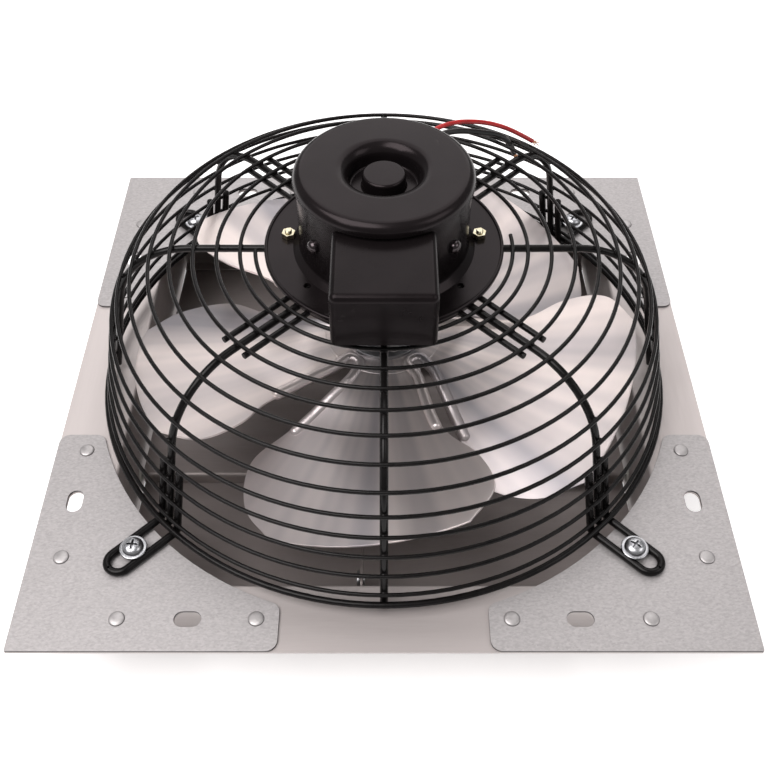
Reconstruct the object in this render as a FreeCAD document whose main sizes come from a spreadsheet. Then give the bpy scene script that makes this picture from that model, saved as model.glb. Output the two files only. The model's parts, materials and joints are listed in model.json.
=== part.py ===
"""Twelve inch shutter exhaust fan, lying on its shutter face with the motor up.

Millimetres. +Z is the fan axis towards the motor, +X to the right and -Y towards the terminal box.
The origin is on the fan axis, in the plane of the shutter's outer edge.
"""
import FreeCAD
import Part
import Sketcher
import math
import os

from FreeCAD import Placement, Rotation, Vector

# Driving dimensions: alias, millimetres or degrees, meaning
SIZES = [
    # Square frame
    ("frame_side", 390, "outer side of the square flange"),
    ("opening_side", 312, "clear opening between the box walls"),
    ("rail_depth", 57, "flange top above the shutter's outer edge"),
    ("rail_sheet", 1.5, "thickness of the aluminium rails"),
    ("hem_width", 3, "outward hem at the foot of the box wall"),
    ("plate_sheet", 1.5, "thickness of the corner plates"),
    ("plate_leg_end", 55, "end of a corner plate's leg from the centre line"),
    ("plate_arc", 177.5, "radius of the corner plate's inner edge"),
    ("plate_round", 6, "rounding of the corner plate's leg ends"),
    ("fixing_line", 177, "rivets and slots from the centre line"),
    ("rivet_near", 67, "first rivet along the rail"),
    ("slot_along", 103, "mounting slot along the rail"),
    ("rivet_far", 140, "second rivet along the rail"),
    ("slot_length", 14.5, "end to end length of a mounting slot"),
    ("slot_width", 9, "width of a mounting slot"),
    ("rivet_shank", 4.8, "rivet shank diameter"),
    ("rivet_head", 8.6, "rivet head diameter"),
    ("rivet_head_rise", 1.3, "height of a rivet head"),
    ("shank_fit", 0.05, "radial room of a shank in its hole"),
    # Wire guard
    ("flat_end", 110.4, "radius where the guard's flat top ends"),
    ("side_slope", 0.225, "outward lean of the guard's side for each millimetre down"),
    ("guard_height", 103.5, "ring centre line of the flat top above the corner plates"),
    ("guard_shoulder", 49.7, "bend radius of the shoulder on the ring centre line"),
    ("first_ring", 80.5, "radius of the first full ring"),
    ("end_arc", 72, "radius of the short innermost arc"),
    ("top_pitch", 13.1, "ring pitch on the top"),
    ("side_pitch", 13.9, "ring pitch over the shoulder and down the side"),
    ("ring_wire", 2.3, "ring wire diameter"),
    ("rod_wire", 4.3, "radial rod diameter"),
    ("base_wire", 3.6, "base ring wire diameter"),
    ("foot_wire", 4.5, "foot wire diameter"),
    ("stub_wire", 3.4, "support wire diameter"),
    ("weld_gap", 0.03, "room left at welded wires"),
    ("rod_inner", 50, "inner end of the radial rods"),
    ("stub_offset", 8, "support wire from its leg"),
    ("stub_outer", 109, "outer end of a support wire"),
    ("foot_width", 18, "outer width of a foot loop"),
    ("foot_reach", 212.5, "outer tip of a foot loop from the axis"),
    ("foot_bend", 4, "bend radius of a foot at the plate"),
    ("foot_rise", 47, "top of a foot's uprights above the plate"),
    ("rod_end_drop", 3, "rod end below the base ring's centre line"),
    ("screw_reach", 193.7, "guard screw from the axis, on the diagonal"),
    ("screw_shank", 5, "guard screw diameter"),
    ("screw_flange", 15, "guard screw flange diameter"),
    ("screw_head", 11.5, "guard screw head diameter"),
    ("screw_head_rise", 3.4, "guard screw head height over the flange"),
    ("screw_flange_rise", 1.2, "guard screw flange thickness"),
    ("nut_height", 4, "guard nut height"),
    ("nut_flats", 8, "guard nut across flats"),
    ("screw_show", 2, "screw thread beyond its nut"),
    ("base_lift", 0.3, "room between the base ring and the feet"),
    ("crown_share", 0.32, "flat of a domed head as a share of its diameter"),
    ("tail_share", 0.7, "clenched rivet tail's radius as a share of the shank diameter"),
    # Motor
    ("mount_radius", 67, "motor mounting plate radius"),
    ("mount_sheet", 2, "motor mounting plate thickness"),
    ("mount_rim", 1.2, "rise of the plate's turned rim"),
    ("mount_rim_width", 2, "width of the plate's turned rim"),
    ("bolt_circle", 54, "radius of the motor bolts"),
    ("bolt_shank", 4, "motor bolt diameter"),
    ("bolt_flats", 7, "motor bolt and nut across flats"),
    ("bolt_nut", 3.2, "motor nut height"),
    ("bolt_show", 1.5, "motor bolt thread beyond its nut"),
    ("clamp_inner", 49, "clamp ring inner radius"),
    ("clamp_outer", 63, "clamp ring outer radius"),
    ("clamp_sheet", 2, "clamp ring thickness"),
    ("motor_sheet", 1.2, "thickness of the drawn motor shells"),
    ("shell_radius", 46.8, "motor shell radius"),
    ("shell_foot", 50.2, "radius of the shell's flared foot"),
    ("shell_foot_rise", 5, "height of the flared foot"),
    ("shell_show", 44.15, "shell height that shows below the cap"),
    ("shell_tuck", 1.8, "shell height inside the cap"),
    ("cap_radius", 48.3, "rear cap radius"),
    ("cap_height", 7.5, "rear cap height"),
    ("cap_round", 5.5, "rounding of the cap's top edge"),
    ("cap_lip", 20.4, "outer radius of the cap's ring recess"),
    ("cap_lip_round", 3, "rounding of the recess lip"),
    ("cap_boss", 11.6, "bearing boss radius"),
    ("cap_boss_round", 1.5, "rounding of the bearing boss"),
    ("cap_recess", 12, "depth of the ring recess"),
    ("boss_drop", 3.5, "bearing boss below the cap's top"),
    ("shaft_dia", 8, "motor shaft diameter"),
    ("bearing_dia", 19, "ball bearing outer diameter"),
    ("bearing_width", 6, "ball bearing width"),
    ("shaft_room", 1, "radial room of the shaft in the cup's hole"),
    ("bearing_room", 1, "room over the rear bearing"),
    ("shaft_end_room", 0.5, "room over the shaft's end"),
    ("stator_base", 9, "stator core above the mounting plate"),
    ("stator_stack", 24, "stator core height"),
    ("stator_bore", 46, "stator bore diameter"),
    ("air_gap", 0.4, "rotor to stator air gap"),
    ("coil_slot", 6, "stator slot diameter"),
    ("coil_circle", 31, "radius of the stator slots"),
    ("coil_rise", 6.5, "end turns beyond the core"),
    ("coil_band", 12, "radial width of the end turns"),
    ("box_width", 53.3, "terminal box width"),
    ("box_front", 88, "terminal box front from the axis"),
    ("box_lift", 13.5, "terminal box above the mounting plate"),
    ("box_height", 29, "terminal box height"),
    ("box_sheet", 1.2, "terminal box wall"),
    ("box_round", 4, "outer rounding of the box cover's fold"),
    ("capacitor_length", 38, "capacitor length"),
    ("capacitor_width", 15, "capacitor width"),
    ("capacitor_height", 24, "capacitor height"),
    ("capacitor_round", 5, "capacitor corner rounding"),
    ("capacitor_room", 1, "room between capacitor and cover"),
    ("dome_screw_head", 6.4, "shell screw head diameter"),
    ("dome_screw_rise", 2.4, "shell screw head height"),
    ("dome_screw_shank", 3, "shell screw diameter"),
    ("dome_screw_lift", 22.7, "shell screws above the mounting plate"),
    ("dome_screw_turn", 51.5, "shell screws from the box's centre line, degrees"),
    ("grommet_flange", 12, "lead grommet flange diameter"),
    ("grommet_rise", 2, "lead grommet flange thickness"),
    ("grommet_neck", 9.4, "lead grommet neck diameter"),
    ("grommet_lift", 14, "lead grommet above the mounting plate"),
    ("grommet_turn", 75, "lead grommet from the right-hand spoke, degrees"),
    ("red_lead_dia", 2.8, "red lead diameter"),
    ("black_lead_dia", 3.6, "sleeved black lead diameter"),
    # Impeller
    ("blade_sheet", 1.4, "blade sheet thickness"),
    ("blade_level", 31.5, "centre disc underside above the corner plates"),
    ("blade_dish", 7.5, "drop of the blades from the centre disc to the waist"),
    ("tip_radius", 152, "blade tip radius"),
    ("root_radius", 30, "blade root radius, inside the centre disc"),
    ("waist_radius", 83, "radius of the blade's waist"),
    ("belly_radius", 113, "radius of the blade's widest stretch"),
    ("shoulder_radius", 138, "radius of the blade's shoulder"),
    ("lead_root", 40, "leading edge at the root, degrees from the blade's middle"),
    ("lead_waist", 23.5, "leading edge at the waist, degrees"),
    ("lead_belly", 27, "leading edge at the belly, degrees"),
    ("lead_shoulder", 25, "leading edge at the shoulder, degrees"),
    ("lead_tip", 17, "leading edge at the tip, degrees"),
    ("trail_root", 24, "trailing edge at the root, degrees from the blade's middle"),
    ("trail_waist", 40, "trailing edge at the waist, degrees"),
    ("trail_belly", 42.5, "trailing edge at the belly, degrees"),
    ("trail_shoulder", 34, "trailing edge at the shoulder, degrees"),
    ("trail_tip", 24, "trailing edge at the tip, degrees"),
    ("level_turn", 8, "where the blade crosses the disc's level, degrees behind its middle"),
    ("tip_rise", 40, "rise of the blade for each radian at the tip"),
    ("blade_camber", 2.5, "rise of the blade's middle at the tip"),
    ("camber_turn", 38, "half width of the cambered stretch, degrees"),
    ("disc_radius", 36, "centre disc radius"),
    ("disc_sheet", 2.4, "centre disc thickness"),
    ("hub_radius", 12, "hub collar radius"),
    ("hub_height", 32, "hub height over the disc"),
    ("hub_flange", 25, "hub flange radius"),
    ("hub_flange_sheet", 2.5, "hub flange thickness"),
    ("hub_rivet_circle", 18.5, "radius of the hub rivets"),
    ("hub_rivet_shank", 4, "hub rivet diameter"),
    ("hub_rivet_head", 7, "hub rivet head diameter"),
    ("hub_rivet_rise", 1.6, "hub rivet head height"),
    ("set_screw_dia", 5, "hub set screw diameter"),
    ("set_screw_lift", 24, "hub set screw over the disc"),
    ("shaft_fit", 0.03, "radial room of a shaft in its bore"),
    # Shutter
    ("louvre_sheet", 1, "louvre sheet thickness"),
    ("louvre_count", 3, "number of louvres"),
    ("hinge_rod", 3, "hinge rod diameter"),
    ("hinge_level", 12, "hinge axis above the outer edge"),
    ("hinge_inset", 7, "first hinge axis from the box wall"),
    ("louvre_overlap", 8, "louvre tucked under the next hinge"),
    ("louvre_end_gap", 3, "last free edge to the box wall"),
    ("louvre_side_gap", 2, "louvre end to the side wall"),
    ("louvre_free_level", 4, "underside of the free edge above the outer edge"),
    ("louvre_hem", 7, "width of the folded free edge"),
    ("skirt_level", 6.4, "foot of the louvre's hinge skirt above the outer edge"),
    ("bush_dia", 7, "nylon bush diameter"),
    ("bush_flange", 10, "nylon bush flange diameter"),
    ("bush_flange_sheet", 1, "nylon bush flange thickness"),
    ("bush_tail", 2.5, "nylon bush length outside the wall"),
    ("bush_fit", 0.08, "radial room of a rod in its bush"),
    ("crank_place", 15, "crank arm from the centre line"),
    ("crank_sheet", 1.5, "crank arm thickness"),
    ("crank_out", 4, "crank pin from the hinge, along the louvre"),
    ("crank_up", 31, "crank pin over the hinge"),
    ("crank_boss", 5, "crank boss radius"),
    ("crank_pin", 4, "crank pin diameter"),
    ("crank_near", 5, "crank foot start from the hinge"),
    ("crank_far", 24, "crank foot end from the hinge"),
    ("crank_room", 0.3, "room between crank arm and tie bar"),
    ("bar_height", 9, "tie bar height"),
    ("bar_end", 7, "tie bar beyond its last pins"),
    ("bar_sheet", 1.5, "tie bar thickness"),
    ("pin_fit", 0.08, "radial room of a crank pin in the tie bar"),
    ("pin_head", 6.5, "crank pin head diameter"),
    ("pin_head_sheet", 1, "crank pin head thickness"),
    ("stop_width", 9, "shutter stop width"),
    ("stop_height", 12, "shutter stop height"),
    ("stop_sheet", 1, "shutter stop thickness"),
    ("stop_room", 0.4, "room between the closed louvre and its stop"),
]

# Values worked out from the driving dimensions, as formulas of the sheet
DERIVED = [
    ("half_side", "=frame_side / 2"),
    ("wall_inner", "=opening_side / 2"),
    ("wall_outer", "=wall_inner + rail_sheet"),
    ("hem_outer", "=wall_outer + hem_width"),
    ("flange_under", "=rail_depth - rail_sheet"),
    ("plate_top", "=rail_depth + plate_sheet"),
    ("rivet_shank_radius", "=rivet_shank / 2"),
    ("rivet_tail_radius", "=rivet_shank * tail_share"),
    ("rivet_head_radius", "=rivet_head / 2"),
    ("rivet_crown_radius", "=rivet_head * crown_share"),
    ("slot_run", "=slot_length / 2 - slot_width / 2"),
    ("slot_near", "=slot_along - slot_run"),
    ("slot_far", "=slot_along + slot_run"),
    ("slot_half", "=slot_width / 2"),
    ("rivet_hole", "=rivet_shank / 2 + shank_fit"),
    ("screw_hole", "=screw_shank / 2 + shank_fit"),
    ("screw_side", "=screw_reach / sqrt(2)"),
    ("ring_level", "=plate_top + guard_height"),
    ("rod_inset", "=ring_wire / 2 + weld_gap + rod_wire / 2"),
    ("foot_inset", "=ring_wire / 2 + weld_gap + foot_wire / 2"),
    ("base_inset", "=rod_inset - rod_wire / 2 - weld_gap - base_wire / 2"),
    ("rod_level", "=ring_level - rod_inset"),
    ("shoulder_level", "=ring_level - guard_shoulder"),
    ("slope_length", "=sqrt(1 + side_slope ^ 2)"),
    ("bend_end", "=flat_end + guard_shoulder / slope_length"),
    ("bend_end_level", "=shoulder_level + guard_shoulder * side_slope / slope_length"),
    ("foot_level", "=plate_top + foot_wire / 2 + weld_gap"),
    ("base_level", "=foot_level + foot_wire / 2 + base_wire / 2 + base_lift"),
    ("base_radius", "=bend_end + side_slope * (bend_end_level - base_level) - slope_length * base_inset"),
    ("rod_end_level", "=base_level - rod_end_drop"),
    ("foot_half", "=(foot_width - foot_wire) / 2"),
    ("foot_loop", "=foot_reach - foot_wire / 2 - foot_half"),
    ("foot_top", "=plate_top + foot_rise"),
    ("screw_shank_radius", "=screw_shank / 2"),
    ("screw_flange_radius", "=screw_flange / 2"),
    ("screw_head_radius", "=screw_head / 2"),
    ("screw_crown_radius", "=screw_head * crown_share"),
    ("screw_seat", "=foot_level + foot_wire / 2 + weld_gap"),
    ("screw_dome_level", "=screw_seat + screw_flange_rise"),
    ("screw_top", "=screw_dome_level + screw_head_rise"),
    ("screw_tip", "=rail_depth - nut_height - screw_show"),
    ("nut_level", "=rail_depth - nut_height"),
    ("stub_level", "=ring_level - ring_wire / 2 - weld_gap - stub_wire / 2"),
    ("mount_under", "=rod_level + rod_wire / 2 + weld_gap"),
    ("motor_base", "=mount_under + mount_sheet"),
    ("mount_rim_top", "=motor_base + mount_rim"),
    ("mount_rim_inner", "=mount_radius - mount_rim_width"),
    ("clamp_top", "=rod_level - rod_wire / 2 - weld_gap"),
    ("clamp_under", "=clamp_top - clamp_sheet"),
    ("bolt_hole", "=bolt_shank / 2 + shank_fit"),
    ("bolt_top", "=motor_base + bolt_nut + bolt_show"),
    ("bolt_under", "=clamp_under - bolt_nut"),
    ("shaft_radius", "=shaft_dia / 2"),
    ("bearing_radius", "=bearing_dia / 2"),
    ("bearing_seat", "=bearing_dia / 2 + shaft_fit"),
    ("cup_outer", "=bearing_seat + mount_sheet"),
    ("cup_floor", "=mount_under - bearing_width"),
    ("cup_under", "=cup_floor - mount_sheet"),
    ("shaft_hole", "=shaft_radius + shaft_room"),
    ("shell_inner", "=shell_radius - motor_sheet"),
    ("foot_inner_wall", "=shell_foot - motor_sheet"),
    ("shell_foot_top", "=motor_base + shell_foot_rise"),
    ("cap_base", "=motor_base + shell_show"),
    ("shell_top", "=cap_base + shell_tuck"),
    ("cap_top", "=cap_base + cap_height"),
    ("cap_inner", "=cap_radius - motor_sheet"),
    ("cap_under", "=cap_top - motor_sheet"),
    ("recess_floor", "=cap_top - cap_recess"),
    ("recess_under", "=recess_floor - motor_sheet"),
    ("recess_wall", "=cap_lip + motor_sheet"),
    ("boss_top", "=cap_top - boss_drop"),
    ("boss_under", "=boss_top - motor_sheet"),
    ("rear_bearing_level", "=boss_under - bearing_width - bearing_room"),
    ("shaft_top", "=boss_under - shaft_end_room"),
    ("stator_level", "=motor_base + stator_base"),
    ("stator_top", "=stator_level + stator_stack"),
    ("stator_radius", "=shell_inner - shank_fit"),
    ("stator_bore_radius", "=stator_bore / 2"),
    ("coil_slot_radius", "=coil_slot / 2"),
    ("rotor_radius", "=stator_bore / 2 - air_gap"),
    ("coil_inner", "=coil_circle - coil_band / 2"),
    ("coil_outer", "=coil_circle + coil_band / 2"),
    ("shell_seat", "=shell_radius + shank_fit"),
    ("dome_screw_level", "=motor_base + dome_screw_lift"),
    ("dome_screw_hole", "=dome_screw_shank / 2 + shank_fit"),
    ("dome_screw_shank_radius", "=dome_screw_shank / 2"),
    ("dome_screw_head_radius", "=dome_screw_head / 2"),
    ("dome_screw_crown_radius", "=dome_screw_head * crown_share"),
    ("grommet_level", "=motor_base + grommet_lift"),
    ("grommet_hole", "=grommet_neck / 2 + shank_fit"),
    ("grommet_neck_radius", "=grommet_neck / 2"),
    ("grommet_flange_radius", "=grommet_flange / 2"),
    ("box_half", "=box_width / 2"),
    ("box_level", "=motor_base + box_lift"),
    ("box_top", "=box_level + box_height"),
    ("box_floor", "=box_level + box_sheet"),
    ("cover_under", "=box_top - box_sheet"),
    ("cover_back", "=box_front - box_sheet"),
    ("box_inner_half", "=box_half - box_sheet"),
    ("capacitor_half", "=capacitor_length / 2"),
    ("capacitor_back", "=cover_back - capacitor_room - capacitor_width"),
    ("disc_under", "=plate_top + blade_level"),
    ("disc_top", "=disc_under + disc_sheet"),
    ("blade_mid", "=disc_under + (disc_sheet - blade_sheet) / 2"),
    ("hub_top", "=disc_top + hub_height"),
    ("hub_flange_top", "=disc_top + hub_flange_sheet"),
    ("hub_bore", "=shaft_dia / 2 + shaft_fit"),
    ("hub_rivet_hole", "=hub_rivet_shank / 2 + shank_fit"),
    ("hub_rivet_shank_radius", "=hub_rivet_shank / 2"),
    ("hub_rivet_head_radius", "=hub_rivet_head / 2"),
    ("hub_rivet_crown_radius", "=hub_rivet_head * crown_share"),
    ("set_screw_radius", "=set_screw_dia / 2"),
    ("set_screw_level", "=disc_top + set_screw_lift"),
    ("set_screw_hole", "=set_screw_dia / 2 + shank_fit"),
    ("eye_bore", "=hinge_rod / 2 + shank_fit"),
    ("eye_radius", "=eye_bore + louvre_sheet"),
    ("eye_top", "=hinge_level + eye_radius"),
    ("louvre_half", "=wall_inner - louvre_side_gap"),
    ("louvre_pitch", "=(opening_side - hinge_inset - louvre_overlap - louvre_end_gap) / louvre_count"),
    ("louvre_chord", "=louvre_pitch + louvre_overlap"),
    ("free_top", "=louvre_free_level + louvre_sheet"),
    ("hem_under", "=louvre_free_level - louvre_sheet"),
    ("louvre_slope", "=(eye_top - free_top) / louvre_chord"),
    ("hem_root", "=louvre_free_level + louvre_slope * louvre_hem"),
    ("hem_root_under", "=hem_root - louvre_sheet"),
    ("hinge_rod_radius", "=hinge_rod / 2"),
    ("bush_radius", "=bush_dia / 2"),
    ("bush_flange_radius", "=bush_flange / 2"),
    ("bush_hole", "=bush_dia / 2 + shank_fit"),
    ("bush_bore", "=hinge_rod / 2 + bush_fit"),
    ("rod_half", "=wall_outer + bush_tail"),
    ("crank_near_top", "=eye_top - louvre_slope * crank_near"),
    ("crank_far_top", "=eye_top - louvre_slope * crank_far"),
    ("crank_inner", "=crank_place - crank_sheet"),
    ("bar_far", "=crank_inner - crank_room"),
    ("bar_near", "=bar_far - bar_sheet"),
    ("pin_head_far", "=bar_near - crank_room"),
    ("pin_head_near", "=pin_head_far - pin_head_sheet"),
    ("pin_level", "=hinge_level + crank_up"),
    ("pin_radius", "=crank_pin / 2"),
    ("pin_head_radius", "=pin_head / 2"),
    ("pin_hole", "=crank_pin / 2 + pin_fit"),
    ("bar_half", "=bar_height / 2"),
    ("stop_under", "=free_top + louvre_slope * stop_width + stop_room"),
    ("stop_inner", "=wall_inner - stop_width"),
    ("stop_top", "=stop_under + stop_height"),
]

BLADE_COUNT = 5
TOP_RINGS = 5
SIDE_RINGS = 7
STATOR_SLOTS = 12
QUARTERS = [0, 90, 180, 270]
DIAGONALS = [45, 135, 225, 315]
BOLT_ANGLES = [6, 96, 174]
SPARE_HOLES = [220, 320]
BOX_ANGLE = -90
DOME_SIDES = (-1, 1)
END_ARC_ANGLES = (184, 366)
ARC_SHARE = 0.45
BLADE_STEPS = 9
BLADE_MARGIN = 8
BLADE_INNER_SHARE = 0.7
BLADE_OUTER_SHARE = 1.04

# Routes of the two leads: out of the grommet, up behind the cap and down onto the guard, as chosen by hand
RED_ROUTE = [
    (12.64, 47.19, 178.6), (15.1, 56.2, 179.4), (21.0, 63.8, 185.0), (30.0, 70.5, 189.5), (41.5, 79.5, 187.5),
    (52.0, 87.0, 183.0), (63.0, 94.0, 177.3), (74.0, 100.0, 170.2), (85.0, 105.0, 161.7), (95.0, 110.0, 152.5),
]
BLACK_ROUTE = [
    (12.64, 47.19, 175.0), (15.4, 56.4, 174.6), (20.5, 64.8, 177.8), (28.0, 72.3, 181.0), (37.0, 78.5, 181.2),
    (47.6, 84.5, 178.3), (58.5, 90.0, 173.0), (71.5, 97.0, 166.5), (79.0, 100.9, 158.5), (83.2, 102.3, 148.8),
]

doc = FreeCAD.newDocument("ShutterFan")
sheet = doc.addObject("Spreadsheet::Sheet", "Sizes")
nodes = []


def fill_sheet():
    """Write the driving dimensions and the values worked out from them into the sheet."""
    row = 1
    for alias, value, meaning in SIZES:
        sheet.set("A%d" % row, meaning)
        sheet.set("B%d" % row, str(value))
        sheet.setAlias("B%d" % row, alias)
        row += 1
    for alias, formula in DERIVED:
        sheet.set("B%d" % row, formula)
        sheet.setAlias("B%d" % row, alias)
        row += 1
    doc.recompute()


def size(alias):
    """Number held by one cell of the sheet."""
    return float(sheet.get(alias))


def number(phrase):
    """Value of a phrase such as "wall_inner - hem_width" or "0"."""
    total = 0.0
    sign = 1
    for word in phrase.split():
        if word in "+-":
            sign = 1 if word == "+" else -1
        else:
            total += sign * (0.0 if word == "0" else size(word))
    return total


def formula(phrase):
    """The same phrase as an expression on the sheet."""
    words = [word if word in "+-0" else "Sizes." + word for word in phrase.split()]
    return " ".join(words)


def bind(thing, **phrases):
    """Bind properties of an object to phrases of the sheet."""
    for name, phrase in phrases.items():
        thing.setExpression(name, formula(phrase))


def keep(thing, label):
    """Give an object its label and list it as a sub-part to write."""
    thing.Label = label
    nodes.append(thing)
    return thing


def new_body(label):
    """A body that becomes one sub-part."""
    return keep(doc.addObject("PartDesign::Body", label), label)


def new_sketch(body, plane_role, lift="0"):
    """A sketch on one of the body's own planes, lifted along the plane's normal."""
    sketch = body.newObject("Sketcher::SketchObject", "Sketch")
    plane = [feature for feature in body.Origin.OriginFeatures if feature.Role == plane_role][0]
    sketch.AttachmentSupport = [(plane, "")]
    sketch.MapMode = "FlatFace"
    if lift != "0":
        sketch.setExpression("AttachmentOffset.Base.z", formula(lift))
    return sketch


def pin_point(sketch, geometry, point, across, up):
    """Tie one point of a sketch to phrases of the sheet, measured from the sketch's origin."""
    for kind, axis, phrase in (("DistanceX", -2, across), ("DistanceY", -1, up)):
        value = number(phrase)
        if phrase == "0":
            sketch.addConstraint(Sketcher.Constraint("PointOnObject", geometry, point, axis))
        elif value > 0:
            index = sketch.addConstraint(Sketcher.Constraint(kind, -1, 1, geometry, point, value))
            sketch.setExpression("Constraints[%d]" % index, formula(phrase))
        else:
            index = sketch.addConstraint(Sketcher.Constraint(kind, geometry, point, -1, 1, -value))
            sketch.setExpression("Constraints[%d]" % index, "-(%s)" % formula(phrase))


def draw_outline(sketch, corners):
    """Closed outline of straight lines through corners given as pairs of phrases."""
    places = [Vector(number(across), number(up), 0) for across, up in corners]
    first = sketch.GeometryCount
    count = len(corners)
    for index in range(count):
        sketch.addGeometry(Part.LineSegment(places[index], places[(index + 1) % count]))
    for index in range(count):
        after = first + (index + 1) % count
        sketch.addConstraint(Sketcher.Constraint("Coincident", first + index, 2, after, 1))
    for index, (across, up) in enumerate(corners):
        pin_point(sketch, first + index, 1, across, up)


def draw_circle(sketch, across, up, radius):
    """Circle with its centre and radius tied to the sheet."""
    circle = Part.Circle(Vector(number(across), number(up), 0), Vector(0, 0, 1), number(radius))
    index = sketch.addGeometry(circle)
    rule = sketch.addConstraint(Sketcher.Constraint("Radius", index, number(radius)))
    sketch.setExpression("Constraints[%d]" % rule, formula(radius))
    pin_point(sketch, index, 3, across, up)


def draw_slot(sketch, near, far, up, half_width):
    """Round-ended slot along the sketch's first axis, between two end centres."""
    start, end = sorted((near, far), key=number)
    radius = number(half_width)
    level = number(up)
    left = Part.Circle(Vector(number(start), level, 0), Vector(0, 0, 1), radius)
    right = Part.Circle(Vector(number(end), level, 0), Vector(0, 0, 1), radius)
    left_arc = sketch.addGeometry(Part.ArcOfCircle(left, math.pi / 2, 3 * math.pi / 2))
    right_arc = sketch.addGeometry(Part.ArcOfCircle(right, -math.pi / 2, math.pi / 2))
    low_side = Part.LineSegment(
        Vector(number(start), level - radius, 0), Vector(number(end), level - radius, 0))
    high_side = Part.LineSegment(
        Vector(number(end), level + radius, 0), Vector(number(start), level + radius, 0))
    low = sketch.addGeometry(low_side)
    high = sketch.addGeometry(high_side)
    joints = [(left_arc, 2, low, 1), (low, 2, right_arc, 1), (right_arc, 2, high, 1), (high, 2, left_arc, 1)]
    for first, first_end, second, second_end in joints:
        sketch.addConstraint(Sketcher.Constraint("Tangent", first, first_end, second, second_end))
    for arc, across in ((left_arc, start), (right_arc, end)):
        rule = sketch.addConstraint(Sketcher.Constraint("Radius", arc, radius))
        sketch.setExpression("Constraints[%d]" % rule, formula(half_width))
        pin_point(sketch, arc, 3, across, up)


def pad(body, sketch, length, symmetric=False):
    """Pad a sketch along its normal, or both ways."""
    feature = body.newObject("PartDesign::Pad", "Pad")
    feature.Profile = sketch
    bind(feature, Length=length)
    feature.SideType = "Symmetric" if symmetric else "One side"
    return feature


def cut_through(body, sketch):
    """Cut a sketch through the whole body, both ways."""
    feature = body.newObject("PartDesign::Pocket", "Pocket")
    feature.Profile = sketch
    feature.Type = "ThroughAll"
    feature.SideType = "Symmetric"
    return feature


def revolve(body, corners):
    """Full turn of an outline of radius and height phrases about the fan axis."""
    sketch = new_sketch(body, "XZ_Plane")
    draw_outline(sketch, corners)
    feature = body.newObject("PartDesign::Revolution", "Revolution")
    feature.Profile = sketch
    feature.ReferenceAxis = (sketch, ["V_Axis"])
    feature.Angle = 360
    return feature


def round_edges(body, radius, chosen):
    """Fillet the edges of the body that a test picks out."""
    doc.recompute()
    base = body.Tip
    names = ["Edge%d" % (index + 1) for index, edge in enumerate(base.Shape.Edges) if chosen(edge)]
    feature = body.newObject("PartDesign::Fillet", "Fillet")
    feature.Base = (base, names)
    bind(feature, Radius=radius)
    return feature


def is_ring(edge, radius, level):
    """True for a circular edge of a radius at a height."""
    same_height = abs(edge.BoundBox.ZMin - level) < 1e-3 and abs(edge.BoundBox.ZMax - level) < 1e-3
    return same_height and isinstance(edge.Curve, Part.Circle) and abs(edge.Curve.Radius - radius) < 1e-3


def is_upright(edge, across, along):
    """True for an edge along Z through a point."""
    box = edge.BoundBox
    centre = box.Center
    return box.XLength < 1e-3 and box.YLength < 1e-3 and math.hypot(centre.x - across, centre.y - along) < 1e-2


def set_shape(label, shape):
    """Sub-part made of a given shape, or of a compound of separate solids."""
    thing = keep(doc.addObject("Part::Feature", label), label)
    thing.Shape = shape
    return thing


def copies(shape, placements):
    """Compound of copies of one shape at the given placements."""
    made = []
    for placement in placements:
        copy = shape.copy()
        copy.Placement = placement.multiply(copy.Placement)
        made.append(copy)
    return Part.makeCompound(made)


def turned(angle):
    """Placement turned about the fan axis."""
    return Placement(Vector(0, 0, 0), Rotation(Vector(0, 0, 1), angle))


def around(radius, angle):
    """Placement at a radius and angle about the fan axis, turned to face outwards."""
    return turned(angle).multiply(Placement(Vector(radius, 0, 0), Rotation()))


def turned_solid(corners):
    """Solid of revolution about Z of an outline of radius and height phrases, for pieces made in groups."""
    points = [Vector(number(across), 0, number(up)) for across, up in corners]
    face = Part.Face(Part.makePolygon(points + points[:1]))
    return face.revolve(Vector(0, 0, 0), Vector(0, 0, 1), 360)


def hexagon(flats, low, high, hole=None):
    """Hexagonal prism about Z between two heights, with a hole if one is given."""
    corner = number(flats) / math.sqrt(3)
    points = [Vector(corner, 0, 0)]
    for step in range(1, 6):
        turn = math.radians(60 * step)
        points.append(Vector(corner * math.cos(turn), corner * math.sin(turn), 0))
    height = number(high) - number(low)
    prism = Part.Face(Part.makePolygon(points + points[:1])).extrude(Vector(0, 0, height))
    if hole:
        prism = prism.cut(Part.makeCylinder(number(hole), height))
    prism.translate(Vector(0, 0, number(low)))
    return prism


def wire_tube(path, diameter):
    """Round wire along a path of lines and tangent arcs."""
    start = path.OrderedVertexes[0].Point
    first = path.OrderedEdges[0]
    ahead = first.tangentAt(first.FirstParameter)
    if (first.valueAt(first.FirstParameter) - start).Length > 1e-6:
        ahead = first.tangentAt(first.LastParameter).negative()
    section = Part.Wire(Part.makeCircle(diameter / 2, start, ahead))
    return path.makePipeShell([section], True, False)


def arc_between(start, middle, end):
    """Circular edge through three points."""
    return Part.Arc(start, middle, end).toShape()


def line_between(start, end):
    """Straight edge between two points."""
    return Part.LineSegment(start, end).toShape()


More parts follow.
